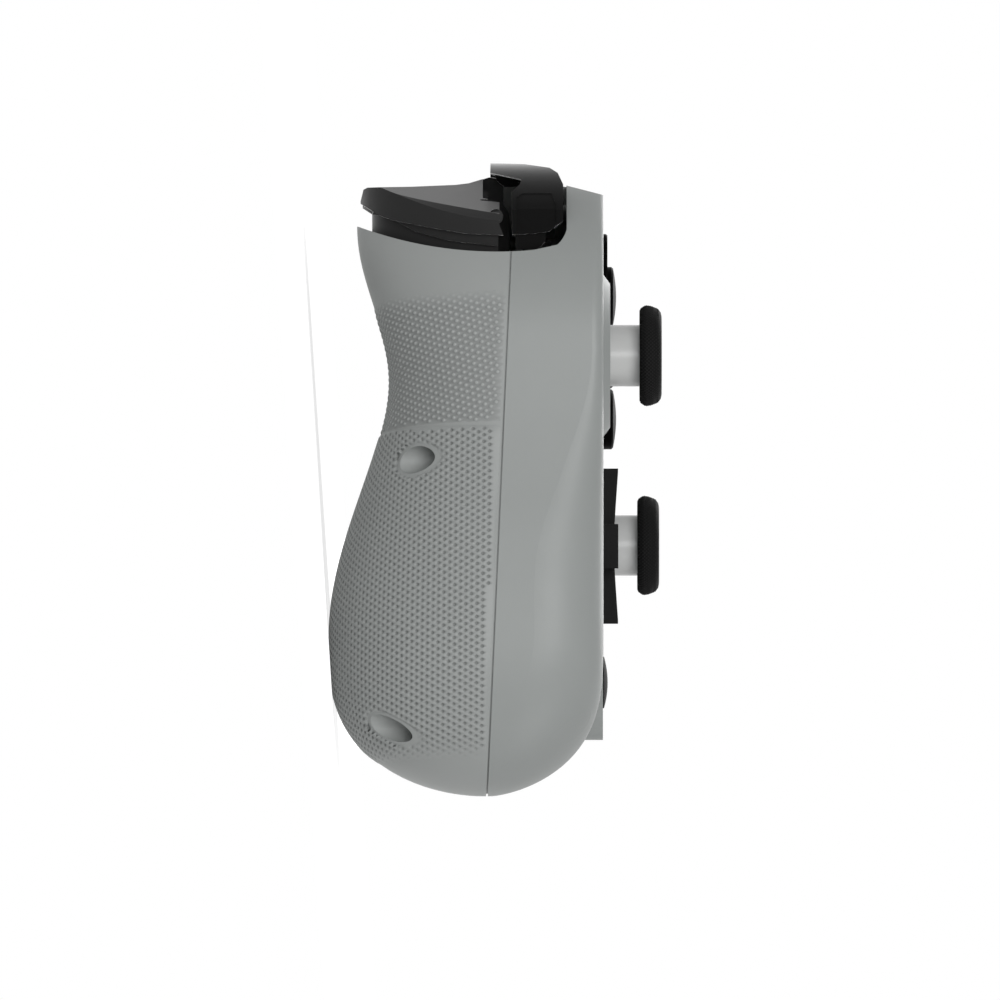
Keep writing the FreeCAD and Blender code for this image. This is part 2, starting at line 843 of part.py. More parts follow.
for x, y in GRIP_SCREWS:
    boss = upright(dim.boss_radius - 1.0, x, y, seam_height(y) - 2.0, -dim.shell_wall + 0.2)
    front_additions.append(boss.common(whole).common(upper_space))
    front_cuts.append(upright(dim.screw_pilot_radius, x, y, seam_height(y) - 3.0, -9.0))
jack_hole = Part.makeCylinder(
    3.05, 8.0, Vector(0, -dim.arch_height - 2.0, -dim.jack_depth), Vector(0, 1, 0)
)
port_hole = usb_slot(0.3, dim.shoulder_height - 8.0, dim.shoulder_height + 2.0)
front_cuts += [cross_prism(dim.dpad_clearance, -ABOVE_FACE, ABOVE_FACE), jack_hole, port_hole]
front_shell = front_half.fuse(front_additions).cut(front_cuts)
new_feature("front_shell", front_shell)

# Rear shell: grip bosses with their screw recesses, battery tray and motor cradles

rear_additions = [side_wall.cut(upper_space), mirrored(side_wall).cut(upper_space)]
rear_cuts = [port_hole]
for x, y in GRIP_SCREWS:
    boss = upright(dim.boss_radius, x, y, -dim.bulge_depth, seam_height(y) + 1.0)
    rear_additions.append(boss.common(whole).cut(upper_space))
    rear_cuts.append(
        upright(dim.recess_radius, x, y, -dim.bulge_depth - 5.0, -dim.recess_floor_depth)
    )
    rear_cuts.append(
        upright(dim.screw_radius + 0.15, x, y, -dim.recess_floor_depth - 1.0, seam_height(y) + 2.0)
    )
battery_floor = -dim.panel_depth + dim.shell_wall + 0.1
battery_low_y = -9.0
tray_gap = 0.3
tray_wall = 1.2
tray_inner_x = dim.battery_width / 2 + tray_gap
tray_top = battery_floor + 3.6
tray_outside = block(
    -tray_inner_x - tray_wall,
    tray_inner_x + tray_wall,
    battery_low_y - tray_gap - tray_wall,
    battery_low_y + dim.battery_length + tray_gap + tray_wall,
    -dim.shoulder_depth,
    tray_top,
)
tray_inside = block(
    -tray_inner_x,
    tray_inner_x,
    battery_low_y - tray_gap,
    battery_low_y + dim.battery_length + tray_gap,
    -dim.shoulder_depth - 1.0,
    tray_top + 1.0,
)
rear_additions.append(tray_outside.cut(tray_inside).common(whole))
motor_bed = Part.makeCylinder(
    dim.motor_radius + 0.05,
    dim.motor_length + 4.0,
    Vector(dim.motor_x - dim.motor_length / 2 - 2.0, dim.motor_height, -dim.motor_depth),
    Vector(1, 0, 0),
)
for offset in (-4.0, 4.0):
    plate = block(
        dim.motor_x + offset - 0.8,
        dim.motor_x + offset + 0.8,
        dim.motor_height - dim.motor_radius,
        dim.motor_height + dim.motor_radius,
        -dim.bulge_depth - 1.0,
        -dim.motor_depth,
    )
    plate = plate.cut(motor_bed).common(whole)
    rear_additions += [plate, mirrored(plate)]
field_recess = block(
    -dim.field_width / 2,
    dim.field_width / 2,
    dim.field_height - dim.field_length / 2,
    dim.field_height + dim.field_length / 2,
    -dim.panel_depth - 1.0,
    -dim.panel_depth + dim.field_depth,
)
field_corners = [edge for edge in field_recess.Edges if edge.BoundBox.ZLength > dim.field_depth]
field_recess = field_recess.makeFillet(dim.field_round, field_corners)
field_rim = [
    edge for edge in field_recess.Edges if edge.BoundBox.ZMin > dim.field_depth / 2 - dim.panel_depth
]
rear_cuts.append(field_recess.makeChamfer(dim.field_chamfer, field_rim))
rear_shell = rear_half.fuse(rear_additions).cut(rear_cuts)
new_feature("rear_shell", rear_shell)

# Shoulder frames: the black floor of each pocket, with the ears that hold the trigger pin

liner_limit = housing_form(
    dim.shell_wall + dim.shell_clearance, cavity_top - dim.shell_clearance
)
frame_inner = dim.pocket_inner + dim.shell_clearance
floor = pocket_form(dim.liner_drop + dim.liner_wall, frame_inner, dim.liner_sink)
floor = floor.cut(pocket_form(dim.liner_drop, frame_inner - 1.0, dim.liner_sink))
behind_flange = block(
    frame_inner,
    dim.grip_half_width,
    0,
    2 * dim.shoulder_height,
    -dim.bulge_depth,
    -dim.flange_depth - dim.shell_clearance,
)
floor = floor.common(liner_limit).common(behind_flange)
EAR_PLACES = [(23.8, 25.8), (53.6, 55.6)]
pin_y = dim.trigger_pin_height
pin_z = -dim.trigger_pin_depth
floor_y = dim.rim_front_height - dim.liner_drop - dim.liner_wall * 0.5
ear_foot = floor_y - 0.6 * dim.liner_sink
across = Vector(1, 0, 0)
frame_solids = [floor]
for low_x, high_x in EAR_PLACES:
    frame_solids.append(
        block(low_x, high_x, ear_foot, pin_y, pin_z - dim.ear_radius, pin_z + dim.ear_radius)
    )
    frame_solids.append(
        Part.makeCylinder(dim.ear_radius, high_x - low_x, Vector(low_x, pin_y, pin_z), across)
    )
frame_solids.append(block(47.5, 53.0, floor_y, 41.2, -14.0, -9.0))
shoulder_frame = frame_solids[0].fuse(frame_solids[1:])
pin_hole = Part.makeCylinder(
    dim.trigger_pin_radius + 0.01, 40.0, Vector(frame_inner, pin_y, pin_z), across
)
shoulder_frame = shoulder_frame.cut(pin_hole).removeSplitter()
new_feature("right_shoulder_frame", shoulder_frame)
new_feature("left_shoulder_frame", mirrored(shoulder_frame))


# Triggers and bumpers

def shoulder_plan(top, gap, low_x, low_y):
    """The plan of a lever that follows the rounded shoulder, as a tall prism."""
    centre_x = dim.shoulder_half_width - dim.corner_width
    centre_y = dim.corner_height
    half_x = dim.corner_width - gap
    half_y = top - centre_y
    reach = (low_y - centre_y) / half_y
    outer = Vector(centre_x + half_x * math.sqrt(1.0 - reach * reach), low_y, 0)
    centre = Vector(centre_x, centre_y, 0)
    crown = Vector(centre_x, top, 0)
    far_side = Vector(centre_x + half_x, centre_y, 0)
    if half_x > half_y:
        ellipse = Part.Ellipse(far_side, crown, centre)
    else:
        ellipse = Part.Ellipse(crown, far_side, centre)
    start = ellipse.parameter(outer)
    end = ellipse.parameter(crown)
    arc = Part.ArcOfEllipse(ellipse, min(start, end), max(start, end)).toShape()
    first, last = arc.Vertexes[0].Point, arc.Vertexes[-1].Point
    if first.distanceToPoint(outer) > last.distanceToPoint(outer):
        first, last = last, first
    wire = Part.Wire(
        [
            straight(Vector(low_x, low_y, 0), first),
            arc,
            straight(last, Vector(low_x, top, 0)),
            straight(Vector(low_x, top, 0), Vector(low_x, low_y, 0)),
        ]
    )
    return carried(wire, Vector(0, 0, -dim.bulge_depth))


lever_inner = dim.pocket_inner + 0.6
trigger_profile = [
    (48.3, -42.1),
    (50.3, -41.6),
    (50.65, -40.9),
    (50.8, -33.25),
    (51.15, -25.6),
    (51.45, -23.3),
    (dim.trigger_top - 0.2, -20.9),
    (48.8, -20.9),
    (48.1, -18.0),
    (44.1, -18.0),
    (42.3, -17.3),
    (42.6, -23.85),
    (43.6, -29.75),
    (45.0, -36.75),
    (45.9, -39.0),
    (47.9, -42.1),
]
trigger_hollow = [
    (48.6, -39.9),
    (49.1, -38.5),
    (49.1, -33.25),
    (49.4, -22.6),
    (47.2, -19.7),
    (36.0, -19.7),
    (36.0, -42.0),
    (44.0, -39.5),
]


def rear_limit(inset):
    """The section of the shoulder carried upwards, which the levers follow at the rear."""
    outline = centre_section(dim.rim_rear_height, inset)
    below = 9.0
    rise = dim.bumper_top - dim.rim_rear_height + 2 * below
    return carried(outline, Vector(0, rise, 0)).translate(Vector(0, -below, 0))


FACET_LOW = (58.5, 48.3)
FACET_SLOPE = 0.356
FACET_MIDDLE_Z = -29.5
FACET_FALL = 0.1
FACET_LENGTH = 32.0
LEVER_INSET = 0.2
SKIRT_START = 41.5


def above_facet(lowering):
    """Everything above the upper facet of the right trigger, or above a plane lowered from it."""
    rear = -dim.shoulder_depth - 2.0
    lift = (FACET_MIDDLE_Z - rear) * FACET_FALL - lowering
    ceiling = dim.shoulder_height + 25.0
    x_low = dim.bumper_pin_x
    x_high = dim.grip_half_width
    y_low = FACET_LOW[1] + (FACET_LOW[0] - x_low) * FACET_SLOPE + lift
    y_high = FACET_LOW[1] + (FACET_LOW[0] - x_high) * FACET_SLOPE + lift
    corners = [
        Vector(x_low, y_low, rear),
        Vector(x_high, y_high, rear),
        Vector(x_high, ceiling, rear),
        Vector(x_low, ceiling, rear),
    ]
    along = Vector(0, -FACET_LENGTH * FACET_FALL, FACET_LENGTH)
    return carried(Part.makePolygon(corners + corners[:1]), along)


def lever_wall(profile, top, outer_inset, inner_inset):
    """A wall that follows the outer end of a lever at an inset, for lips and skirts."""
    wall = prism(profile, SKIRT_START, dim.grip_half_width).common(rear_limit(outer_inset))
    plan = shoulder_plan(top, dim.lever_outer_gap + outer_inset, lever_inner, 30.0)
    return wall.common(plan).cut(rear_limit(inner_inset))


trigger = prism(trigger_profile, lever_inner, dim.grip_half_width).common(rear_limit(LEVER_INSET))
trigger = trigger.common(shoulder_plan(dim.trigger_top, dim.lever_outer_gap, lever_inner, 40.0))
trigger = trigger.cut(above_facet(0.0))
trigger_room = prism(trigger_hollow, lever_inner + dim.trigger_wall, dim.grip_half_width)
trigger_room = trigger_room.common(rear_limit(dim.trigger_wall + LEVER_INSET))
trigger_room = trigger_room.cut(above_facet(dim.trigger_wall))
trigger_room = trigger_room.common(
    shoulder_plan(
        dim.trigger_top - dim.trigger_wall,
        dim.lever_outer_gap + dim.trigger_wall,
        lever_inner + dim.trigger_wall,
        30.0,
    )
)
room_reach = dim.ear_radius + 0.4
ear_room = [
    block(low_x - 0.3, high_x + 0.3, 30.0, 48.6, pin_z - room_reach, pin_z + room_reach)
    for low_x, high_x in EAR_PLACES
]
HUB_X = (31.0, 53.2)
hub_length = HUB_X[1] - HUB_X[0]
hub = Part.makeCylinder(dim.ear_radius, hub_length, Vector(HUB_X[0], pin_y, pin_z), across)
hub_web = block(HUB_X[0], HUB_X[1], pin_y, 48.2, pin_z - 0.9, pin_z + 0.6)
spring_room = block(25.0, 31.0, 30.0, 48.6, pin_z - 3.0, pin_z + 3.0)
trigger = trigger.cut([trigger_room, spring_room] + ear_room)
rib_profile = [(46.0, -40.0), (50.0, -38.0), (50.0, -20.0), (44.0, -20.0), (44.2, -29.0)]
RIB_PLACES = (36.0, 44.0, 52.0)
ribs = [prism(rib_profile, x, x + dim.lever_rib).cut(above_facet(1.0)) for x in RIB_PLACES]
end_web = [
    (46.0, -21.6),
    (51.5, -21.6),
    (dim.trigger_top - 0.15, -20.9),
    (52.6, -19.8),
    (52.1, -17.3),
    (46.0, -17.3),
]
trigger_lip = [
    (48.0, -39.6),
    (44.9, -36.0),
    (43.0, -32.6),
    (41.4, -26.8),
    (40.7, -21.0),
    (40.4, -18.2),
    (48.0, -18.2),
]
trigger_skirt = [
    (48.0, -40.4),
    (43.2, -40.4),
    (41.2, -36.0),
    (40.05, -33.0),
    (39.2, -30.0),
    (38.5, -27.0),
    (38.05, -24.0),
    (37.8, -21.2),
    (37.9, -18.2),
    (48.0, -18.2),
]
skirts = [
    lever_wall(trigger_lip, dim.trigger_top, dim.lip_outer, dim.skirt_inner).cut(above_facet(1.0)),
    lever_wall(trigger_skirt, dim.trigger_top, dim.skirt_outer, dim.skirt_inner).cut(
        above_facet(1.0)
    ),
]
running_hole = Part.makeCylinder(
    dim.trigger_pin_radius + dim.pin_clearance, 40.0, Vector(frame_inner, pin_y, pin_z), across
)
trigger = trigger.fuse([hub, hub_web, prism(end_web, HUB_X[0], HUB_X[0] + 2.5)])
trigger = trigger.fuse([rib.common(rear_limit(0.6)) for rib in ribs] + skirts)
trigger = trigger.cut(running_hole).removeSplitter()
new_feature("right_trigger", trigger)
new_feature("left_trigger", mirrored(trigger))

bumper_profile = [
    (dim.bumper_top, -19.55),
    (54.75, -13.65),
    (54.1, -9.3),
    (53.2, -7.9),
    (51.15, -6.95),
    (44.8, -6.95),
    (43.0, -9.3),
    (42.55, -12.25),
    (42.4, -15.8),
    (49.9, -15.9),
    (51.15, -14.5),
    (52.0, -14.2),
    (53.2, -19.6),
]
bumper_hollow = [
    (51.2, -13.4),
    (51.2, -9.3),
    (50.2, -8.5),
    (38.0, -8.5),
    (38.0, -14.4),
    (49.4, -14.4),
]
bumper_lip = [(45.0, -9.9), (41.2, -10.0), (39.85, -11.4), (39.85, -15.2), (45.0, -15.2)]
side_panel = [(49.6, -13.9), (49.6, -9.0), (47.6, -8.2), (40.0, -8.2), (40.0, -15.1), (48.9, -15.1)]
overhang_rib = [(53.4, -18.9), (51.9, -18.4), (50.9, -17.2), (50.9, -14.2), (52.4, -14.0)]
PANEL_INSET = 0.45
BUMPER_BLOCK = 29.5
bumper = prism(bumper_profile, lever_inner, dim.grip_half_width)
bumper = bumper.common(shoulder_plan(dim.bumper_top, dim.lever_outer_gap, lever_inner, 40.0))
bumper = bumper.common(rear_limit(LEVER_INSET))
core = shoulder_plan(dim.bumper_top, dim.lever_outer_gap + PANEL_INSET, lever_inner, 40.0)
core = core.common(rear_limit(LEVER_INSET + PANEL_INSET))
bumper = bumper.cut(prism(side_panel, dim.stick_spacing, dim.grip_half_width).cut(core))
bumper_room = prism(bumper_hollow, BUMPER_BLOCK, dim.grip_half_width).common(
    shoulder_plan(
        dim.bumper_top - dim.bumper_wall,
        dim.lever_outer_gap + dim.bumper_wall,
        BUMPER_BLOCK,
        30.0,
    )
)
bumper_room = bumper_room.common(rear_limit(LEVER_INSET + dim.bumper_wall))
bumper_skirt = lever_wall(bumper_lip, dim.bumper_top, dim.lip_outer, dim.skirt_inner)
bumper_hole = upright(
    dim.bumper_pin_radius + dim.pin_clearance, dim.bumper_pin_x, dim.bumper_pin_height, -20.0, -5.0
)
plunger_rib = block(49.4, 50.9, 41.9, 51.6, -14.6, -8.4)
bumper = bumper.cut(bumper_room).fuse([plunger_rib, bumper_skirt, prism(overhang_rib, 36.0, 38.5)])
bumper = bumper.cut(bumper_hole).removeSplitter()
new_feature("right_bumper", bumper)
new_feature("left_bumper", mirrored(bumper))

pin_start = EAR_PLACES[0][0] - 1.0
pin_end = EAR_PLACES[-1][1] + 1.0
for label, sign in (("right_trigger_pin", 1), ("left_trigger_pin", -1)):
    pin_x = sign * (pin_start + pin_end) / 2
    body = new_body(label, pin_x, dim.trigger_pin_height, -dim.trigger_pin_depth)
    sketch = new_sketch(body, "YZ_Plane")
    draw_circle(sketch, 0, 0, dim.trigger_pin_radius)
    pad(body, sketch, pin_end - pin_start, midplane=True)


def spring_form(side):
    """A torsion spring on the trigger pin: a coil and two legs that leave it squarely."""
    coil_x = (26.2, 30.6)
    coil_radius = 2.2
    coil_bore = dim.trigger_pin_radius + 0.25
    wire = 0.3
    leg_gap = 0.5
    root = (coil_radius + coil_bore) / 2
    middle = Vector(0, pin_y, pin_z)
    start = Vector(coil_x[0], pin_y, pin_z)
    coil = Part.makeCylinder(coil_radius, coil_x[1] - coil_x[0], start, across)
    coil = coil.cut(Part.makeCylinder(coil_bore, 6.0, start, across))
    legs = []
    for leg_x, leg_length, leg_way in (
        (coil_x[0] + leg_gap, 6.2, Vector(0, -1, 0)),
        (coil_x[1] - leg_gap, 7.2, Vector(0, 0.32, -1).normalize()),
    ):
        foot = middle + Vector(leg_x, 0, 0) + leg_way * root
        legs.append(Part.makeCylinder(wire, leg_length, foot, leg_way))
    form = coil.fuse(legs)
    return form if side > 0 else mirrored(form)


new_feature("right_trigger_spring", spring_form(1))
new_feature("left_trigger_spring", spring_form(-1))


# Sticks: housing, click saddle, yoke, bow, stem and cap, drawn about their pivot

def add_stick(side, x, y):
    z = -dim.stick_pivot_depth
    floor_z = board_face + dim.stick_pivot_depth

    housing = new_body(side + "_stick_housing", x, y, z)
    sketch = new_sketch(housing, "XY_Plane", floor_z)
    draw_outline(sketch, box_outline(dim.module_half_width, dim.module_half_width))
    pad(housing, sketch, dim.module_rise - floor_z)
    sketch = new_sketch(housing, "XY_Plane", dim.module_rise)
    inner = dim.module_half_width - dim.module_wall
    draw_outline(sketch, box_outline(inner, inner))
    pocket(housing, sketch, dim.module_rise - floor_z + 1.0)
    sketch = new_sketch(housing, "XZ_Plane")
    draw_circle(sketch, 0, 0, dim.pin_radius + dim.pin_clearance)
    pocket(housing, sketch, 4 * dim.module_half_width, midplane=True)
    for plane in ("YZ_Plane", "XZ_Plane"):
        sensor = new_sketch(housing, plane, dim.module_half_width)
        draw_outline(sensor, box_outline(3.4, 0.9, 0.0, floor_z + 1.0))
        pad(housing, sensor, 1.8)

    saddle = new_body(side + "_stick_saddle", x, y, z)
    base_low = floor_z + dim.click_travel + 0.6
    sketch = new_sketch(saddle, "XY_Plane", base_low)
    draw_outline(sketch, box_outline(dim.saddle_plate_outer, dim.saddle_half_width))
    pad(saddle, sketch, 1.8 - base_low)
    sketch = new_sketch(saddle, "XY_Plane", 1.8)
    draw_outline(sketch, box_outline(dim.saddle_plate_inner, dim.saddle_half_width + 1.0))
    pocket(saddle, sketch, 1.8 - base_low - 1.0)
    sketch = new_sketch(saddle, "YZ_Plane")
    draw_circle(sketch, 0, 0, dim.pin_radius + dim.pin_clearance)
    pocket(saddle, sketch, 4 * dim.saddle_plate_outer, midplane=True)

    yoke = new_body(side + "_stick_yoke", x, y, z)
    sketch = new_sketch(yoke, "XY_Plane")
    draw_outline(sketch, box_outline(dim.yoke_half_length, dim.yoke_half_width))
    pad(yoke, sketch, 2 * dim.yoke_half_height, midplane=True)
    sketch = new_sketch(yoke, "YZ_Plane")
    draw_circle(sketch, 0, 0, dim.pin_radius)
    pad(yoke, sketch, 2 * dim.saddle_plate_outer - 0.2, midplane=True)
    sketch = new_sketch(yoke, "XY_Plane")
    draw_outline(sketch, box_outline(3.5, dim.tongue_half_width + dim.shaft_clearance))
    pocket(yoke, sketch, 4 * dim.yoke_half_height, midplane=True)
    sketch = new_sketch(yoke, "XZ_Plane")
    draw_circle(sketch, 0, 0, 0.8 + dim.pin_clearance)
    pocket(yoke, sketch, 4 * dim.yoke_half_width, midplane=True)

    bow = new_body(side + "_stick_bow", x, y, z)
    outer, inner = dim.bow_outer_radius, dim.bow_inner_radius
    sketch = new_sketch(bow, "YZ_Plane")
    draw_outline(sketch, [(outer, 0, (0, outer)), (-outer, 0), (-inner, 0, (0, inner)), (inner, 0)])
    pad(bow, sketch, 2 * dim.bow_half_width, midplane=True)
    sketch = new_sketch(bow, "XY_Plane", 2.0)
    slot = dim.shaft_radius + dim.shaft_clearance
    draw_outline(sketch, box_outline(slot, inner - 0.7))
    pocket(bow, sketch, outer, reverse=True)
    for direction in (-1, 1):
        sketch = new_sketch(bow, "XZ_Plane", direction * inner)
        draw_circle(sketch, 0, 0, 1.9)
        pad(bow, sketch, outer - inner, reverse=direction < 0)
        sketch = new_sketch(bow, "XZ_Plane", direction * inner)
        draw_circle(sketch, 0, 0, dim.pin_radius)
        pad(bow, sketch, dim.module_half_width - inner, reverse=direction < 0)

    stem = new_body(side + "_stick_stem", x, y, z)
    lean = math.radians(70.0)
    dome = dim.dome_radius
    bowl = dim.dome_radius - dim.dome_wall
    cap_z = dim.cap_underside + dim.stick_pivot_depth
    spigot = dim.stem_radius * 0.64
    bowl_top = math.sqrt(bowl**2 - dim.shaft_radius**2)
    dome_top = math.sqrt(dome**2 - dim.stem_radius**2)
    half_lean = lean / 2 + 0.1
    turn(
        stem,
        [
            (0, 2.3),
            (dim.shaft_radius, 2.3),
            (dim.shaft_radius, bowl_top, (bowl * math.sin(half_lean), bowl * math.cos(half_lean))),
            (bowl * math.sin(lean), bowl * math.cos(lean)),
            (
                dome * math.sin(lean),
                dome * math.cos(lean),
                (dome * math.sin(half_lean + 0.2), dome * math.cos(half_lean + 0.2)),
            ),
            (dim.stem_radius, dome_top),
            (dim.stem_radius, cap_z),
            (spigot, cap_z),
            (spigot, cap_z + dim.stem_socket),
            (0, cap_z + dim.stem_socket),
        ],
    )
    sketch = new_sketch(stem, "XZ_Plane")
    tongue = dim.shaft_radius
    draw_outline(sketch, [(tongue, 3.0), (-tongue, 3.0), (-tongue, 0, (0, -tongue)), (tongue, 0)])
    pad(stem, sketch, 2 * dim.tongue_half_width, midplane=True)
    sketch = new_sketch(stem, "XZ_Plane")
    draw_circle(sketch, 0, 0, 0.8)
    pad(stem, sketch, 2 * dim.yoke_half_width - 0.2, midplane=True)

    cap = new_body(side + "_stick_cap", x, y, z)
    rim = dim.cap_radius
    top_z = cap_z + dim.cap_thickness
    socket_z = cap_z + dim.stem_socket + 0.05
    turn(
        cap,
        [
            (0, socket_z),
            (spigot + 0.05, socket_z),
            (spigot + 0.05, cap_z),
            (rim - dim.cap_chamfer, cap_z),
            (rim, cap_z + dim.cap_chamfer_rise),
            (rim - 0.15, top_z - dim.cap_round + 0.05, (rim - 0.6, top_z - dim.cap_round / 3)),
            (
                rim - dim.cap_round,
                top_z,
                sphere_middle(rim - dim.cap_round, dim.cap_dish, top_z - dim.cap_dish),
            ),
            (0, top_z - dim.cap_dish),
        ],
    )


for side, (x, y) in STICKS.items():
    add_stick(side, x, y)

# Round buttons of the face: a head under the shell's edge and a foot on its silicone dome


def add_button(label, x, y, radius, head, foot_radius, foot_depth):
    """The head is the outline from the middle of its top to its outer edge."""
    body = new_body(label, x, y, 0.0)
    under = -dim.shell_wall - 0.1
    flange = radius + dim.button_flange
    turn(
        body,
        head
        + [
            (radius, under),
            (flange, under),
            (flange, under - dim.button_flange_thickness),
            (foot_radius, under - dim.button_flange_thickness),
            (foot_radius, -foot_depth),
            (0, -foot_depth),
        ],
    )


for label, (x, y) in FACE_BUTTONS.items():
    radius = dim.face_button_radius
    side_top = dim.face_button_side
    crown = side_top + dim.face_button_dome
    head = [
        (0, crown, sphere_middle(radius - 0.3, side_top + 0.05 - crown, crown)),
        (radius - 0.3, side_top + 0.05),
        (radius, side_top - 0.25),
    ]
    add_button(label, x, y, radius, head, 2.3, dim.button_foot_depth)
for label, (x, y) in FLAT_BUTTONS.items():
    radius = dim.small_button_radius
    rise = dim.small_button_rise
    head = [(0, rise), (radius - 0.25, rise), (radius, rise - 0.25)]
    add_button(label, x, y, radius, head, dim.small_foot_radius, dim.small_foot_depth)
for label, (x, y) in DOMED_BUTTONS.items():
    radius = dim.small_button_radius
    rise = dim.small_button_rise
    head = [(0, rise, sphere_middle(radius, -0.75 * rise, rise)), (radius, rise * 0.25)]
    add_button(label, x, y, radius, head, dim.small_foot_radius, dim.small_foot_depth)

# Directional pad on its ball and post

cross = new_body("directional_pad", DPAD[0], DPAD[1], 0.0)
sketch = new_sketch(cross, "XY_Plane", -dim.dpad_flange_bottom)
draw_outline(
    sketch,
    cross_outline(dim.dpad_half_span + dim.dpad_flange, dim.dpad_arm / 2 + dim.dpad_flange),
)
pad(cross, sketch, dim.dpad_flange_bottom - dim.dpad_flange_top)
sketch = new_sketch(cross, "XY_Plane", -dim.dpad_flange_bottom)
draw_outline(sketch, cross_outline(dim.dpad_half_span, dim.dpad_arm / 2))
pad(cross, sketch, dim.dpad_flange_bottom + dim.dpad_tip_rise)
hollow_turn(
    cross,
    [
        (0, dim.dpad_centre_rise),
        (dim.dpad_half_span + 1.0, dim.dpad_tip_rise + 0.08),
        (dim.dpad_half_span + 1.0, dim.dpad_tip_rise + 3.0),
        (0, dim.dpad_tip_rise + 3.0),
    ],
)
FOOT_REACH = 9.6
for x, y in ((FOOT_REACH, 0), (-FOOT_REACH, 0), (0, FOOT_REACH), (0, -FOOT_REACH)):
    sketch = new_sketch(cross, "XY_Plane", -dim.dpad_flange_bottom + 0.2)
    draw_circle(sketch, x, y, 2.0)
    pad(cross, sketch, dim.button_foot_depth - dim.dpad_flange_bottom + 0.2, reverse=True)
ball_room = dim.dpad_ball_radius + dim.pin_clearance
pivot_z = -dim.dpad_pivot_depth
hollow_turn(
    cross,
    [
        (0, pivot_z + ball_room, (ball_room * math.sin(0.785), pivot_z + ball_room * math.cos(0.785))),
        (ball_room, pivot_z),
        (ball_room, pivot_z + 0.2),
        (5.4, pivot_z + 0.2),
        (5.4, -dim.dpad_flange_bottom - 1.0),
        (0, -dim.dpad_flange_bottom - 1.0),
    ],
)

ball = new_body("dpad_ball", DPAD[0], DPAD[1], -dim.dpad_pivot_depth)
turn(ball, [(0, -dim.dpad_ball_radius, (dim.dpad_ball_radius, 0)), (0, dim.dpad_ball_radius)])

post = new_body("dpad_post", DPAD[0], DPAD[1], 0.0)
cup_edge = math.sqrt(ball_room**2 - 0.25)
turn(
    post,
    [
        (0, pivot_z - ball_room, (ball_room * math.sin(0.7), pivot_z - ball_room * math.cos(0.7))),
        (cup_edge, pivot_z - 0.5),
        (3.2, pivot_z - 0.5),
        (3.2, board_face + 1.0),
        (5.0, board_face + 1.0),
        (5.0, board_face),
        (0, board_face),
    ],
)


def silicone_pad(half_x, half_y, centre, places, dome_top, hole):
    """A sheet on the board with a hollow dome under each foot."""
    sheet_top = board_face + dim.pad_sheet
    x, y = centre
    form = block(x - half_x, x + half_x, y - half_y, y + half_y, board_face, sheet_top)
    rooms = []
    for place_x, place_y in places:
        base = Vector(place_x, place_y, sheet_top)
        rise = dome_top - sheet_top
        form = form.fuse(Part.makeCone(dim.pad_dome_radius - 1.0, 2.5, rise, base))
        rooms.append(
            Part.makeCone(
                dim.pad_dome_radius - 1.5, 2.0, rise - 0.3, Vector(place_x, place_y, board_face - 0.5)
            )
        )
    if hole > 0:
        rooms.append(upright(hole, x, y, board_face - 1.0, sheet_top + 1.0))
    return form.cut(rooms)


dome_top = -dim.button_foot_depth - 0.3
abxy_centre = (dim.stick_spacing, dim.stick_height)
new_feature(
    "face_button_pad",
    silicone_pad(
        dim.face_ring_radius + 1.8,
        dim.face_ring_radius + 3.0,
        abxy_centre,
        FACE_BUTTONS.values(),
        dome_top,
        0.0,
    ),
)
dpad_places = [
    (DPAD[0] + x, DPAD[1] + y)
    for x, y in ((FOOT_REACH, 0), (-FOOT_REACH, 0), (0, FOOT_REACH), (0, -FOOT_REACH))
]
new_feature("dpad_pad", silicone_pad(12.6, 12.6, DPAD, dpad_places, dome_top, 5.2))

# Main board with its switches

board = new_body("main_board", 0.0, 0.0, 0.0)
right_edge = [
    (7.0, 47.5),
    (7.0, 45.0),
    (18.3, 45.0),
    (18.3, dim.board_top),
    (60.0, dim.board_top),
    (dim.board_half_width, 30.0),
    (dim.board_half_width, -16.0),
    (60.0, dim.board_bottom),
    (35.8, dim.board_bottom),
    (35.8, -41.0),
    (28.0, -41.0),
    (22.5, -33.0),
    (19.5, dim.board_bottom),
]
left_edge = [(-x, y) for x, y in reversed(right_edge)]
sketch = new_sketch(board, "XY_Plane", board_back)
draw_outline(sketch, right_edge + left_edge)
pad(board, sketch, dim.board_thickness)
sketch = new_sketch(board, "XY_Plane", board_face)
for x, y in BOARD_POSTS:
    draw_circle(sketch, x, y, 1.1)
pocket(board, sketch, dim.board_thickness + 1.0)
switch_places = list(FLAT_BUTTONS.values()) + list(DOMED_BUTTONS.values())
sketch = new_sketch(board, "XY_Plane", board_face)
for x, y in switch_places:
    draw_outline(sketch, box_outline(dim.switch_half_width, dim.switch_half_width, x, y))
pad(board, sketch, dim.switch_height)
sketch = new_sketch(board, "XY_Plane", board_face + dim.switch_height)
for x, y in switch_places:
    draw_circle(sketch, x, y, dim.switch_knob_radius)
foot_height = dim.board_depth - dim.small_foot_depth
pad(board, sketch, foot_height - dim.switch_height - dim.click_travel - dim.pin_clearance)
sketch = new_sketch(board, "XY_Plane", board_face)
for x, y in STICKS.values():
    draw_circle(sketch, x, y, 1.5)
pad(board, sketch, 0.5)

# Screws, battery, motors and sockets


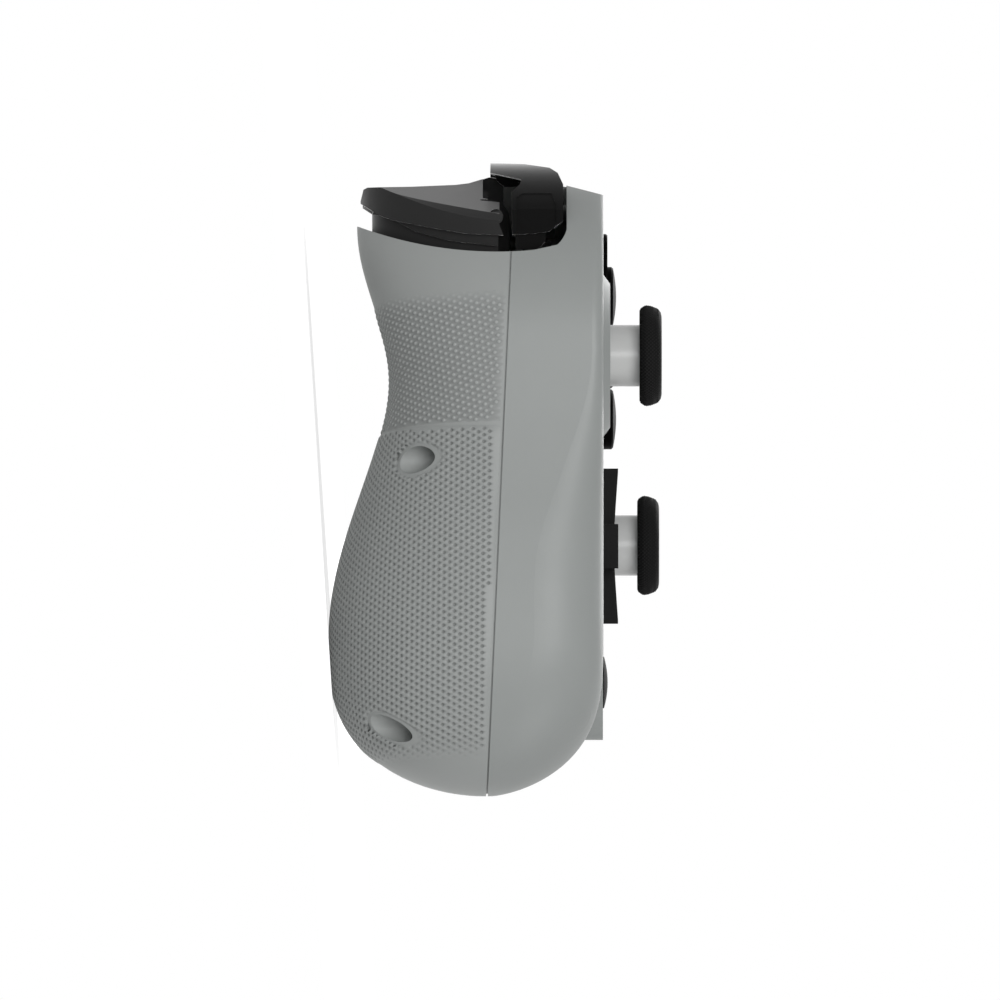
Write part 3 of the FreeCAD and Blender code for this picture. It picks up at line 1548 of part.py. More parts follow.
def screw_form(x, y, head_face, head_direction, shank):
    """A round-headed screw whose head lies against the given height."""
    direction = Vector(0, 0, head_direction)
    seat = Vector(x, y, head_face)
    drive_depth = dim.screw_head_height / 2
    head = Part.makeCylinder(dim.screw_head_radius, dim.screw_head_height, seat, direction)
    drive_floor = seat + direction * (dim.screw_head_height - drive_depth)
    drive = Part.makeCylinder(dim.screw_head_radius * 0.45, drive_depth, drive_floor, direction)
    stem = Part.makeCylinder(dim.screw_radius, shank, seat, -direction)
    return head.cut(drive).fuse(stem)


grip_screws = [
    screw_form(x, y, -dim.recess_floor_depth, -1, dim.screw_length) for x, y in GRIP_SCREWS
]
new_feature("housing_screws", Part.makeCompound(grip_screws))


def board_screw(x, y):
    seat = Vector(x, y, board_back)
    down = Vector(0, 0, -1)
    head = Part.makeCylinder(dim.board_screw_head, dim.board_screw_head_height, seat, down)
    return head.fuse(Part.makeCylinder(dim.board_screw_radius, dim.board_screw_length, seat))


new_feature("board_screws", Part.makeCompound([board_screw(x, y) for x, y in BOARD_POSTS]))

battery = new_body("battery_pack", 0.0, battery_low_y + dim.battery_length / 2, 0.0)
sketch = new_sketch(battery, "XY_Plane", battery_floor)
draw_outline(sketch, box_outline(dim.battery_width / 2, dim.battery_length / 2))
cell = pad(battery, sketch, dim.battery_height)
rounded = battery.newObject("PartDesign::Fillet", "battery_edges")
upright_edges = [
    "Edge%d" % (number + 1)
    for number, edge in enumerate(cell.Shape.Edges)
    if abs(edge.tangentAt(edge.FirstParameter).z) > 0.99
]
rounded.Base = (cell, upright_edges)
rounded.setExpression("Radius", dim.battery_edge.text)
doc.recompute()

for label, sign in (("right", 1), ("left", -1)):
    motor = new_body(label + "_rumble_motor", sign * dim.motor_x, dim.motor_height, -dim.motor_depth)
    sketch = new_sketch(motor, "YZ_Plane")
    draw_circle(sketch, 0, 0, dim.motor_radius)
    pad(motor, sketch, dim.motor_length, midplane=True)
    sketch = new_sketch(motor, "YZ_Plane", -sign * dim.motor_length / 2)
    draw_circle(sketch, 0, 0, dim.motor_shaft_radius)
    pad(motor, sketch, dim.weight_thickness + 1.5, reverse=sign > 0)

    weight_x = dim.motor_x - dim.motor_length / 2 - 0.9 - dim.weight_thickness / 2
    weight = new_body(label + "_rumble_weight", sign * weight_x, dim.motor_height, -dim.motor_depth)
    sketch = new_sketch(weight, "YZ_Plane")
    draw_outline(sketch, [(-dim.weight_radius, 0, (0, -dim.weight_radius)), (dim.weight_radius, 0)])
    pad(weight, sketch, dim.weight_thickness, midplane=True)
    sketch = new_sketch(weight, "YZ_Plane")
    draw_circle(sketch, 0, 0, 2.4)
    pad(weight, sketch, dim.weight_thickness, midplane=True)
    sketch = new_sketch(weight, "YZ_Plane")
    draw_circle(sketch, 0, 0, dim.motor_shaft_radius + dim.pin_clearance)
    pocket(weight, sketch, 2 * dim.weight_thickness, midplane=True)

jack_mouth = -dim.arch_height + 0.1
jack = new_body("headphone_jack", 0.0, jack_mouth, -dim.jack_depth)
sketch = new_sketch(jack, "XZ_Plane")
draw_circle(sketch, 0, 0, dim.jack_collar_radius)
pad(jack, sketch, dim.jack_collar_length, reverse=True)
sketch = new_sketch(jack, "XZ_Plane", 0.4 - dim.jack_collar_length)
jack_seat = -dim.board_depth + dim.jack_depth
jack_half = dim.jack_body_half_width
jack_rise = dim.jack_body_rise
draw_outline(
    sketch,
    [(-jack_half, jack_seat), (jack_half, jack_seat), (jack_half, jack_rise), (-jack_half, jack_rise)],
)
pad(jack, sketch, dim.jack_body_length, reverse=True)
sketch = new_sketch(jack, "XZ_Plane")
draw_circle(sketch, 0, 0, dim.jack_bore_radius)
pocket(jack, sketch, dim.jack_bore_length)

port_mouth = dim.shoulder_height - dim.usb_inset
port_body = usb_slot(0.0, port_mouth - dim.usb_length, port_mouth)
port_room = usb_slot(-0.3, port_mouth - dim.usb_length + 1.0, port_mouth + 1.0)
port_tongue = block(
    -dim.usb_tongue_half_width,
    dim.usb_tongue_half_width,
    port_mouth - dim.usb_length + 0.4,
    port_mouth - dim.usb_inset,
    -dim.usb_depth - dim.usb_tongue_thickness / 2,
    -dim.usb_depth + dim.usb_tongue_thickness / 2,
)
new_feature("usb_c_port", port_body.cut(port_room).fuse(port_tongue))

# Rest placement: the pad leans back on its grips and its shoulder rims

rest_lean = math.atan2(
    dim.bulge_depth - dim.shoulder_depth, dim.rim_rear_height + dim.bulge_drop
)
lean = FreeCAD.Rotation(Vector(1, 0, 0), math.degrees(rest_lean))
leaning = FreeCAD.Placement(Vector(0, 0, 0), lean)
doc.recompute()
box = FreeCAD.BoundBox()
for piece, place in subparts:
    shape = piece.Shape.copy()
    shape.Placement = leaning.multiply(FreeCAD.Placement(place, FreeCAD.Rotation()))
    box.add(shape.optimalBoundingBox(False))
shift = Vector(-box.Center.x, -box.Center.y, -box.ZMin)
at_rest = FreeCAD.Placement(shift, lean)
for piece, place in subparts:
    piece.Placement = at_rest.multiply(FreeCAD.Placement(place, FreeCAD.Rotation()))
doc.recompute()
print("lean %.4f degrees, shift %.4f %.4f %.4f" % (math.degrees(rest_lean), *shift))
print("size %.2f %.2f %.2f" % (box.XLength, box.YLength, box.ZLength))

for thing in doc.Objects:
    if "Invalid" in thing.State or "Error" in thing.State:
        raise ValueError("%s failed: %s" % (thing.Label, thing.State))
for piece, place in subparts:
    if piece.Shape.isNull() or not piece.Shape.isValid():
        raise ValueError("%s has no valid shape" % piece.Label)

os.makedirs("parts", exist_ok=True)
for piece, place in subparts:
    piece.Shape.exportStep("parts/%s.step" % piece.Label)
print(len(subparts), "sub-parts written")
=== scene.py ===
# %% [markdown]
# # A gamepad seen from its side
#
# The engineering model of the pad is loaded first and is never moved: each of its parts is a mesh
# in metres, at its real place. This lesson sets up a small photo studio, gives those parts their
# finishes, and adds the fine shapes that a moulded product has: the dotted and dimpled skin of the
# grips and the knurl of the stick caps.

# %% Load the frame
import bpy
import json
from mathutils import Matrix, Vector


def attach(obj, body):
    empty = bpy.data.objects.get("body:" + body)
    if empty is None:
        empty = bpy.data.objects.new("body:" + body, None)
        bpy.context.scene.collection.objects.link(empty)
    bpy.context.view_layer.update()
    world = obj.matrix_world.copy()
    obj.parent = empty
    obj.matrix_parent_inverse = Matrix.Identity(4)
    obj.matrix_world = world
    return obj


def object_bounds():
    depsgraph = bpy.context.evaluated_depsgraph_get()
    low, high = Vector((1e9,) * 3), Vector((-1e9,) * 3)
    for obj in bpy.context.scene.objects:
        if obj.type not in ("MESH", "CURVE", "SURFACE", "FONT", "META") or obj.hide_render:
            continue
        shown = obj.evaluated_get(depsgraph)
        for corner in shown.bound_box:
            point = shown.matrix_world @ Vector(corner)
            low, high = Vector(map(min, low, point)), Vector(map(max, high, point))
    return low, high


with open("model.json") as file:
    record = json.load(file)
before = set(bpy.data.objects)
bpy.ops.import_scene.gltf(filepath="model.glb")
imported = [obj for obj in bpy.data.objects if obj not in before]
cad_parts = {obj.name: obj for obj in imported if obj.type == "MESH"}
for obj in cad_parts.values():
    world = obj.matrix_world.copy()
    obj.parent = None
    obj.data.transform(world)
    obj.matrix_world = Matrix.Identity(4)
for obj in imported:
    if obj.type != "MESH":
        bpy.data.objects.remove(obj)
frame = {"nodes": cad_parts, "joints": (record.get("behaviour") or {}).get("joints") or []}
cad_low, cad_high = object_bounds()
print("frame parts:", len(frame["nodes"]))

# %% Tools used throughout
import json
import math

import bmesh
import bpy
from mathutils import Matrix, Vector
from mathutils.bvhtree import BVHTree

MM = 0.001
nodes = frame["nodes"]
joints = {joint["name"]: joint for joint in frame["joints"]}
print("joints:", len(joints))

# %% [markdown]
# ## A coordinate frame on the face
#
# The pad leans back a little where it lies, so its flat face isn't level. Most sizes are easier to
# think of on the face itself: X to the player's right, Y towards the shoulders, Z out of the face.
# A face button slides straight into the face, so its joint gives the direction of Z. X is the
# world's own X, Y follows from the two by a cross product, and the pivot of the left stick gives
# the place. `on_face` is a matrix that takes millimetres on the face to metres in the world.

# %% The face frame
LEFT_STICK = Vector((-50.0, 21.5, -10.5))
RIGHT_STICK = Vector((44.0, -11.55, -10.5))
out_of_face = -Vector(joints["button_east_press"]["axis"])
sideways = Vector((1, 0, 0))
up_face = out_of_face.cross(sideways)
turn_to_face = Matrix((sideways, up_face, out_of_face)).transposed()
left_pivot = Vector(joints["left_stick_tilt_updown"]["pos_m"])
face_origin = left_pivot - turn_to_face @ (LEFT_STICK * MM)
on_face = Matrix.Translation(face_origin) @ turn_to_face.to_4x4() @ Matrix.Scale(MM, 4)
to_face = on_face.inverted()
print("the face leans by", round(math.degrees(out_of_face.angle(Vector((0, 0, 1)))), 2), "degrees")

# %% [markdown]
# ## The camera
#
# The photograph looks straight at the left side of the pad, along the world's X axis, with the
# shoulders up and the face to the right. It shows hardly any perspective, so the lens is very long
# and the camera stands far away. The distance is worked out so that the picture's width covers
# 175 mm of the pad.

# %% Place the camera
PICTURE_WIDTH = 175.0
PICTURE_CENTRE = Vector((0, -3.535, -17.9))
LENS = 1200.0
SENSOR = 36.0

camera_data = bpy.data.cameras.new("side_camera")
camera_data.lens = LENS
camera_data.sensor_width = SENSOR
camera_data.clip_end = 100.0
camera = bpy.data.objects.new("side_camera", camera_data)
distance = PICTURE_WIDTH * LENS / SENSOR
right, up = out_of_face, up_face
camera.matrix_world = Matrix.Translation(
    on_face @ (PICTURE_CENTRE - Vector((distance, 0, 0)))
) @ Matrix((right, up, right.cross(up))).transposed().to_4x4()
bpy.context.scene.collection.objects.link(camera)
bpy.context.scene.camera = camera
print("camera distance in metres:", round(distance * MM, 2))

# %% [markdown]
# ## The studio
#
# The photograph has a plain white ground and very soft light. A wide floor lies under the pad. It
# is a pale matt surface, and a little white is added to it where the camera, a mirror or a window
# looks at it, so that it reads as white while the shadow of the pad still darkens it. The world
# does the same: white to the eye, and a quieter grey as a light.

# %% World
WORLD_LIGHT = 0.42
scene = bpy.context.scene
world = bpy.data.worlds.new("studio_world")
scene.world = world
world.use_nodes = True
tree = world.node_tree
tree.nodes.clear()


def looked_at(tree):
    """1 where the camera, a mirror or a window looks, 0 where the surface only gives light."""
    paths = tree.nodes.new("ShaderNodeLightPath")
    either = tree.nodes.new("ShaderNodeMath")
    either.operation = "MAXIMUM"
    tree.links.new(paths.outputs["Is Camera Ray"], either.inputs[0])
    tree.links.new(paths.outputs["Is Glossy Ray"], either.inputs[1])
    any_of_three = tree.nodes.new("ShaderNodeMath")
    any_of_three.operation = "MAXIMUM"
    tree.links.new(either.outputs[0], any_of_three.inputs[0])
    tree.links.new(paths.outputs["Is Transmission Ray"], any_of_three.inputs[1])
    return any_of_three.outputs[0]


strength = tree.nodes.new("ShaderNodeMapRange")
strength.inputs["To Min"].default_value = WORLD_LIGHT
strength.inputs["To Max"].default_value = 1.0
tree.links.new(looked_at(tree), strength.inputs["Value"])
ground = tree.nodes.new("ShaderNodeBackground")
ground.inputs["Color"].default_value = (1, 1, 1, 1)
tree.links.new(strength.outputs["Result"], ground.inputs["Strength"])
world_out = tree.nodes.new("ShaderNodeOutputWorld")
tree.links.new(ground.outputs[0], world_out.inputs["Surface"])
view_settings = scene.view_settings
view_settings.view_transform = "Standard"
print("world light:", WORLD_LIGHT)

# %% Floor
FLOOR_SIZE = 1.6
FLOOR_GAP = 0.02
FLOOR_COLOUR = 0.8
FLOOR_GLOW = 0.68

floor_mesh = bpy.data.meshes.new("floor")
paper = bmesh.new()
bmesh.ops.create_grid(paper, x_segments=1, y_segments=1, size=FLOOR_SIZE / 2)
bmesh.ops.translate(paper, verts=paper.verts, vec=Vector((0, 0, cad_low.z - FLOOR_GAP * MM)))
paper.to_mesh(floor_mesh)
paper.free()
floor = bpy.data.objects.new("floor", floor_mesh)
bpy.context.scene.collection.objects.link(floor)
floor_material = bpy.data.materials.new("floor_paper")
floor_material.use_nodes = True
tree = floor_material.node_tree
tree.nodes.clear()
matt = tree.nodes.new("ShaderNodeBsdfDiffuse")
matt.inputs["Color"].default_value = (FLOOR_COLOUR, FLOOR_COLOUR, FLOOR_COLOUR, 1)
glow_level = tree.nodes.new("ShaderNodeMath")
glow_level.operation = "MULTIPLY"
glow_level.inputs[1].default_value = FLOOR_GLOW
tree.links.new(looked_at(tree), glow_level.inputs[0])
glow = tree.nodes.new("ShaderNodeEmission")
tree.links.new(glow_level.outputs[0], glow.inputs["Strength"])
both = tree.nodes.new("ShaderNodeAddShader")
tree.links.new(matt.outputs[0], both.inputs[0])
tree.links.new(glow.outputs[0], both.inputs[1])
floor_out = tree.nodes.new("ShaderNodeOutputMaterial")
tree.links.new(both.outputs[0], floor_out.inputs["Surface"])
floor.data.materials.append(floor_material)
print("floor side in metres:", FLOOR_SIZE)

# %% [markdown]
# ## Lamps
#
# The photograph is lit from the camera's side: what faces the camera is lightest, and what turns
# away from it falls off softly. A wide soft box hangs there, a second one lifts the far side and a
# third one the lower end. Their power is low, because a colour should render about as written.

# %% Hang the soft boxes
def soft_box(name, place, size, power):
    lamp_data = bpy.data.lights.new(name, "AREA")
    lamp_data.shape = "DISK"
    lamp_data.size = size
    lamp_data.energy = power
    lamp = bpy.data.objects.new(name, lamp_data)
    lamp.location = place
    lamp.rotation_euler = (-place).to_track_quat("-Z", "Y").to_euler()
    bpy.context.scene.collection.objects.link(lamp)


soft_box("near_soft_box", Vector((-1.5, 0.15, 0.55)), size=1.0, power=16.0)
soft_box("far_soft_box", Vector((1.2, 0.3, 0.8)), size=1.0, power=8.0)
soft_box("low_soft_box", Vector((-0.5, -1.2, 0.5)), size=0.8, power=3.0)

# %% [markdown]
# ## Shared effects
#
# Moulded plastic is never one flat colour. A few effects are used by many of the finishes, so each
# of them is a node group with its own inputs: a fine moulded grain that becomes a bump, a slow
# drift of tone over the surface, and handling marks that polish the finish in patches. These read
# object coordinates, which are metres here because every piece sits at the origin. A fourth group
# paints shade into small hollows and a highlight onto small tops of a textured skin, so that its
# pits look darker and its tops lighter than the lamps alone make them. It reads `height_share`, a
# number that the mesh of such a skin keeps at each vertex: positive on tops and negative in hollows.

# %% Node group helpers
def new_group(name, inputs, outputs):
    group = bpy.data.node_groups.new(name, "ShaderNodeTree")
    for title, kind, value in inputs:
        socket = group.interface.new_socket(title, in_out="INPUT", socket_type=kind)
        socket.default_value = value
    for title, kind in outputs:
        group.interface.new_socket(title, in_out="OUTPUT", socket_type=kind)
    start = group.nodes.new("NodeGroupInput")
    end = group.nodes.new("NodeGroupOutput")
    return group, start, end


def add_math(tree, operation, first, second):
    node = tree.nodes.new("ShaderNodeMath")
    node.operation = operation
    for index, value in enumerate((first, second)):
        if isinstance(value, (int, float)):
            node.inputs[index].default_value = value
        else:
            tree.links.new(value, node.inputs[index])
    return node.outputs[0]


def add_noise(tree, scale, detail):
    coordinates = tree.nodes.new("ShaderNodeTexCoord")
    noise = tree.nodes.new("ShaderNodeTexNoise")
    noise.inputs["Detail"].default_value = detail
    tree.links.new(coordinates.outputs["Object"], noise.inputs["Vector"])
    tree.links.new(scale, noise.inputs["Scale"])
    return noise.outputs["Fac"]


print("group helpers ready")

# %% Moulded grain
COARSE_SCALE = 0.25

grain, start, end = new_group(
    "moulded_grain",
    [("Grains per metre", "NodeSocketFloat", 2500.0), ("Coarse share", "NodeSocketFloat", 0.3)],
    [("Height", "NodeSocketFloat")],
)
fine = add_noise(grain, start.outputs["Grains per metre"], 3.0)
coarse_scale = add_math(grain, "MULTIPLY", start.outputs["Grains per metre"], COARSE_SCALE)
coarse = add_noise(grain, coarse_scale, 1.0)
coarse = add_math(grain, "MULTIPLY", coarse, start.outputs["Coarse share"])
grain.links.new(add_math(grain, "ADD", fine, coarse), end.inputs["Height"])
print("made", grain.name)

# %% Tone drift
drift, start, end = new_group(
    "tone_drift",
    [
        ("Colour", "NodeSocketColor", (0.5, 0.5, 0.5, 1)),
        ("Amount", "NodeSocketFloat", 0.06),
        ("Patches per metre", "NodeSocketFloat", 60.0),
    ],
    [("Colour", "NodeSocketColor")],
)
patches = add_noise(drift, start.outputs["Patches per metre"], 4.0)
swing = add_math(drift, "SUBTRACT", patches, 0.5)
swing = add_math(drift, "MULTIPLY", swing, start.outputs["Amount"])
level = add_math(drift, "ADD", swing, 1.0)
shade = drift.nodes.new("ShaderNodeVectorMath")
shade.operation = "SCALE"
drift.links.new(start.outputs["Colour"], shade.inputs[0])
drift.links.new(level, shade.inputs["Scale"])
drift.links.new(shade.outputs["Vector"], end.inputs["Colour"])
print("made", drift.name)

# %% Handling marks
marks, start, end = new_group(
    "handling_marks",
    [
        ("Roughness", "NodeSocketFloat", 0.5),
        ("Swing", "NodeSocketFloat", 0.1),
        ("Patches per metre", "NodeSocketFloat", 90.0),
    ],
    [("Roughness", "NodeSocketFloat")],
)
smears = add_noise(marks, start.outputs["Patches per metre"], 5.0)
smears = add_math(marks, "SUBTRACT", smears, 0.5)
smears = add_math(marks, "MULTIPLY", smears, start.outputs["Swing"])
marks.links.new(add_math(marks, "ADD", smears, start.outputs["Roughness"]), end.inputs["Roughness"])
print("made", marks.name)

# %% Painted shade in hollows, painted highlight on tops
# Painted shade and highlight: the colour is scaled down where height_share is negative, in hollows, and up
# where it is positive, on tops.
relief_shade_group, start, end = new_group(
    "painted_shade_and_highlight",
    [("Colour", "NodeSocketColor", (0.2, 0.2, 0.2, 1)), ("Strength", "NodeSocketFloat", 0.5)],
    [("Colour", "NodeSocketColor")],
)
depth = relief_shade_group.nodes.new("ShaderNodeAttribute")
depth.attribute_name = "height_share"
level = add_math(relief_shade_group, "MULTIPLY", depth.outputs["Fac"], start.outputs["Strength"])
level = add_math(relief_shade_group, "ADD", level, 1.0)
toned = relief_shade_group.nodes.new("ShaderNodeVectorMath")
toned.operation = "SCALE"
relief_shade_group.links.new(start.outputs["Colour"], toned.inputs[0])
relief_shade_group.links.new(level, toned.inputs["Scale"])
relief_shade_group.links.new(toned.outputs["Vector"], end.inputs["Colour"])
print("made", relief_shade_group.name)

# %% [markdown]
# ## Finishes
#
# Each finish is a Principled shader. The colour passes through the tone drift, the roughness
# through the handling marks, and the grain feeds a Bump node. Finely grained black plastic looks
# paler at a glancing angle, which the shader's sheen gives. What differs between satin plastic,
# rubber, steel and the green board is only the values, so one function builds them all from a
# short description. Bump is the depth of the grain in millimetres, gloss is the specular level,
# and a last value, where it is given, says how strongly shade is painted into hollows and a
# highlight onto tops.

# %% List the finishes
def grey(level):
    return (level, level, level)


FINISHES = {
    "front_shell": dict(colour=(0.228, 0.24, 0.235), rough=0.45, bump=0.012, grains=3200.0, gloss=0.35),
    "rear_shell": dict(colour=(0.245, 0.256, 0.251), rough=0.5, bump=0.018, grains=3000.0, gloss=0.4),
    "black_frame": dict(colour=grey(0.003), rough=0.5, bump=0.012, grains=3000.0, gloss=0.05, sheen=0.25),
    "lever_black": dict(colour=grey(0.001), rough=0.4, bump=0.006, grains=3500.0, gloss=0.03, sheen=0.8),
    "trigger_black": dict(colour=grey(0.02), rough=0.35, bump=0.006, grains=3500.0, gloss=0.05, sheen=0.75),
    "dpad_black": dict(colour=grey(0.003), rough=0.4, bump=0.008, grains=3500.0, gloss=0.06, sheen=0.08),
    "face_button_black": dict(
        colour=grey(0.002), rough=0.35, bump=0.003, grains=2500.0, gloss=0.004, sheen=0.1
    ),
    "small_button_black": dict(
        colour=grey(0.002), rough=0.45, bump=0.006, grains=3500.0, gloss=0.004, sheen=0.1
    ),
    "stem_grey": dict(colour=(0.46, 0.465, 0.46), rough=0.22, bump=0.006, grains=3500.0),
    "cap_rubber": dict(colour=grey(0.004), rough=0.6, bump=0.02, grains=2600.0, gloss=0.05, sheen=0.05),
    # The knurl's finish paints shade into the valleys between its diamonds and a highlight onto their tops.
    "cap_knurl": dict(
        colour=grey(0.007), rough=0.6, bump=0.02, grains=2600.0, gloss=0.05, sheen=0.02, cavity=0.9
    ),
    "module_steel": dict(colour=(0.56, 0.55, 0.53), rough=0.34, bump=0.006, grains=1500.0, metal=1.0),
    "module_plastic": dict(colour=(0.62, 0.61, 0.57), rough=0.45, bump=0.01, grains=3000.0),
    "board_green": dict(colour=(0.012, 0.085, 0.035), rough=0.35, bump=0.01, grains=900.0),
    "silicone": dict(colour=(0.30, 0.31, 0.32), rough=0.55, bump=0.012, grains=2000.0),
    "battery_wrap": dict(colour=(0.03, 0.05, 0.10), rough=0.3, bump=0.02, grains=500.0),
    "motor_steel": dict(colour=grey(0.60), rough=0.28, bump=0.005, grains=1800.0, metal=1.0),
    "weight_tungsten": dict(colour=(0.36, 0.35, 0.34), rough=0.48, bump=0.03, grains=2200.0, metal=1.0),
    "pin_steel": dict(colour=grey(0.02), rough=0.4, bump=0.003, grains=2500.0, metal=1.0),
    "spring_steel": dict(colour=grey(0.50), rough=0.3, bump=0.004, grains=2500.0, metal=1.0),
    "screw_steel": dict(colour=(0.20, 0.20, 0.21), rough=0.36, bump=0.006, grains=2600.0, metal=1.0),
    "socket_metal": dict(colour=(0.66, 0.65, 0.62), rough=0.25, bump=0.003, grains=2500.0, metal=1.0),
    "jack_plastic": dict(colour=grey(0.01), rough=0.42, bump=0.01, grains=3000.0, gloss=0.2),
}
# The grip skin's finish paints shade into the dimples and round the feet of the dots, and a highlight onto
# the dot tops.
FINISHES["grip_skin"] = dict(FINISHES["rear_shell"], cavity=0.24)
print("finishes:", len(FINISHES))

# %% One function for all finishes
TONE_SWING = 0.08
ROUGH_SWING = 0.12
SHEEN_ROUGHNESS = 0.35


def add_group(tree, group, **values):
    node = tree.nodes.new("ShaderNodeGroup")
    node.node_tree = group
    for title, value in values.items():
        node.inputs[title.replace("_", " ")].default_value = value
    return node


def build_finish(name, colour, rough, bump, grains, metal=0.0, gloss=0.5, sheen=0.0, cavity=0.0):
    material = bpy.data.materials.new(name)
    material.use_nodes = True
    tree = material.node_tree
    shader = tree.nodes["Principled BSDF"]
    shader.inputs["Metallic"].default_value = metal
    shader.inputs["Specular IOR Level"].default_value = gloss
    shader.inputs["Sheen Weight"].default_value = sheen
    shader.inputs["Sheen Roughness"].default_value = SHEEN_ROUGHNESS
    tone = add_group(tree, drift, Colour=(*colour, 1), Amount=TONE_SWING)
    colour_out = tone.outputs["Colour"]
    # Where the finish asks for it, shade is painted into hollows and a highlight onto tops.
    if cavity:
        depth = add_group(tree, relief_shade_group, Strength=cavity)
        tree.links.new(colour_out, depth.inputs["Colour"])
        colour_out = depth.outputs["Colour"]
    tree.links.new(colour_out, shader.inputs["Base Color"])
    worn = add_group(tree, marks, Roughness=rough, Swing=ROUGH_SWING)
    tree.links.new(worn.outputs["Roughness"], shader.inputs["Roughness"])
    skin = add_group(tree, grain, Grains_per_metre=grains)
    relief = tree.nodes.new("ShaderNodeBump")
    relief.inputs["Strength"].default_value = 1.0
    relief.inputs["Distance"].default_value = bump * MM
    tree.links.new(skin.outputs["Height"], relief.inputs["Height"])
    tree.links.new(relief.outputs["Normal"], shader.inputs["Normal"])
    return material


materials = {name: build_finish(name, **values) for name, values in FINISHES.items()}
print("materials:", sorted(materials))

# %% [markdown]
# ## Dress the engineering parts
#
# The record says which slot each part takes its finish from. The parts keep their meshes; only the
# material in each slot is exchanged for the finish of the same name. The triggers share a slot with
# the bumpers, but they are a little greyer, so they get a finish of their own.

# %% Exchange the materials
used = set()
for name, node in nodes.items():
    for place in node.material_slots:
        title = place.material.name.split(".")[0] if place.material else ""
        if name.endswith("_trigger"):
            title = "trigger_black"
        place.material = materials.get(title, materials["lever_black"])
        used.add(place.material.name)
print("dressed:", sorted(used))

# %% [markdown]
# ## A sheet of diamonds
#
# The grips are dotted and the stick caps are knurled: small shapes in rows, every second row
# shifted by half a step. Such a lattice is a square grid turned by 45 degrees and stretched. The
# sheet is made flat, and what lies outside the wanted rectangle is cut away with bisect_plane.
# The small shapes are raised or sunk while everything is still flat, which is easy, and only
# afterwards is the sheet laid onto its surface. All lengths here are millimetres.

# %% Make a flat lattice
SPARE_COLUMNS = 4
SLACK = 0.01


def flat_lattice(width, height, cell_width, cell_height, turn=0.0, closes=False):
    """Diamonds on 0..width by 0..height, with the rows turned by some degrees. A lattice that
    closes keeps whole diamonds at its two ends, so that they meet when it is rolled up."""
    turn = math.radians(turn)
    reach_x = width * math.cos(turn) + height * abs(math.sin(turn))
    reach_y = height * math.cos(turn) + width * abs(math.sin(turn))
    columns = math.ceil(reach_x / cell_width + reach_y / cell_height) + SPARE_COLUMNS
    sheet = bmesh.new()
    bmesh.ops.create_grid(sheet, x_segments=columns, y_segments=columns, size=columns / 2)
    bmesh.ops.rotate(sheet, verts=sheet.verts, matrix=Matrix.Rotation(math.pi / 4, 3, "Z"))
    bmesh.ops.scale(
        sheet,
        verts=sheet.verts,
        vec=Vector((cell_width, cell_height, 1)) / math.sqrt(2),
    )
    bmesh.ops.rotate(sheet, verts=sheet.verts, matrix=Matrix.Rotation(turn, 3, "Z"))
    steps = (round(width / 2 / cell_width), round(height / 2 / cell_height))
    middle = Vector((steps[0] * cell_width, steps[1] * cell_height, 0))
    bmesh.ops.translate(sheet, verts=sheet.verts, vec=middle)
    cuts = [((0, 0, 0), (0, -1, 0)), ((0, height, 0), (0, 1, 0))]
    if closes:
        outside = [
            face
            for face in sheet.faces
            if not -SLACK < face.calc_center_median().x < width - SLACK
        ]
        bmesh.ops.delete(sheet, geom=outside, context="FACES")
    else:
        cuts += [((0, 0, 0), (-1, 0, 0)), ((width, 0, 0), (1, 0, 0))]
    for edge_point, outwards in cuts:
        everything = sheet.verts[:] + sheet.edges[:] + sheet.faces[:]
        bmesh.ops.bisect_plane(
            sheet, geom=everything, plane_co=edge_point, plane_no=outwards, clear_outer=True
        )
    return sheet


trial = flat_lattice(10, 5, 2, 1)
print("a small lattice has", len(trial.faces), "faces")
trial.free()

# %% Shape the cells of a lattice
WHOLE_SHARE = 0.49
ROUND_INSET = 0.1


def lift_cells(sheet, cells, wall, relief, tip):
    """Each cell gets a sloping wall that lifts it by the relief, and its middle is lifted by the
    tip on top of that."""
    bmesh.ops.inset_individual(sheet, faces=cells, thickness=wall, depth=relief)
    tops = bmesh.ops.poke(sheet, faces=cells)["verts"]
    bmesh.ops.translate(sheet, verts=tops, vec=Vector((0, 0, tip)))
    for face in sheet.faces:
        face.smooth = True


def whole_cells(sheet, cell_width, cell_height):
    """A whole diamond covers half of the rectangle round it, and a cut one covers less."""
    least = WHOLE_SHARE * cell_width * cell_height
    return [face for face in sheet.faces if len(face.verts) == 4 and face.calc_area() > least]


def round_off(sheet, cells, radius):
    """Open a round cell of that radius in the middle of each diamond."""
    bmesh.ops.inset_individual(sheet, faces=cells, thickness=ROUND_INSET)
    rims = list({edge for cell in cells for edge in cell.edges})
    bmesh.ops.bisect_edges(sheet, edges=rims, cuts=1)
    for cell in cells:
        centre = cell.calc_center_median()
        for vertex in cell.verts:
            vertex.co = centre + (vertex.co - centre).normalized() * radius


print("cell helpers ready")

# %% [markdown]
# ## The skin of the grips
#
# The rear half of the housing has a moulded grip pattern: round raised dots above, dimples below,
# with a narrow smooth band between them. Modelling it in the engineering part would make it far
# too heavy, and a bump texture would leave the outline of the grip smooth, so it is a thin skin
# that lies on the shell. To lay a flat sheet round the grip without stretching it, the shell is
# measured first: at many heights, rays are shot at it from outside, all the way from the parting
# line round the back, and the length along the skin is added up from hit to hit.

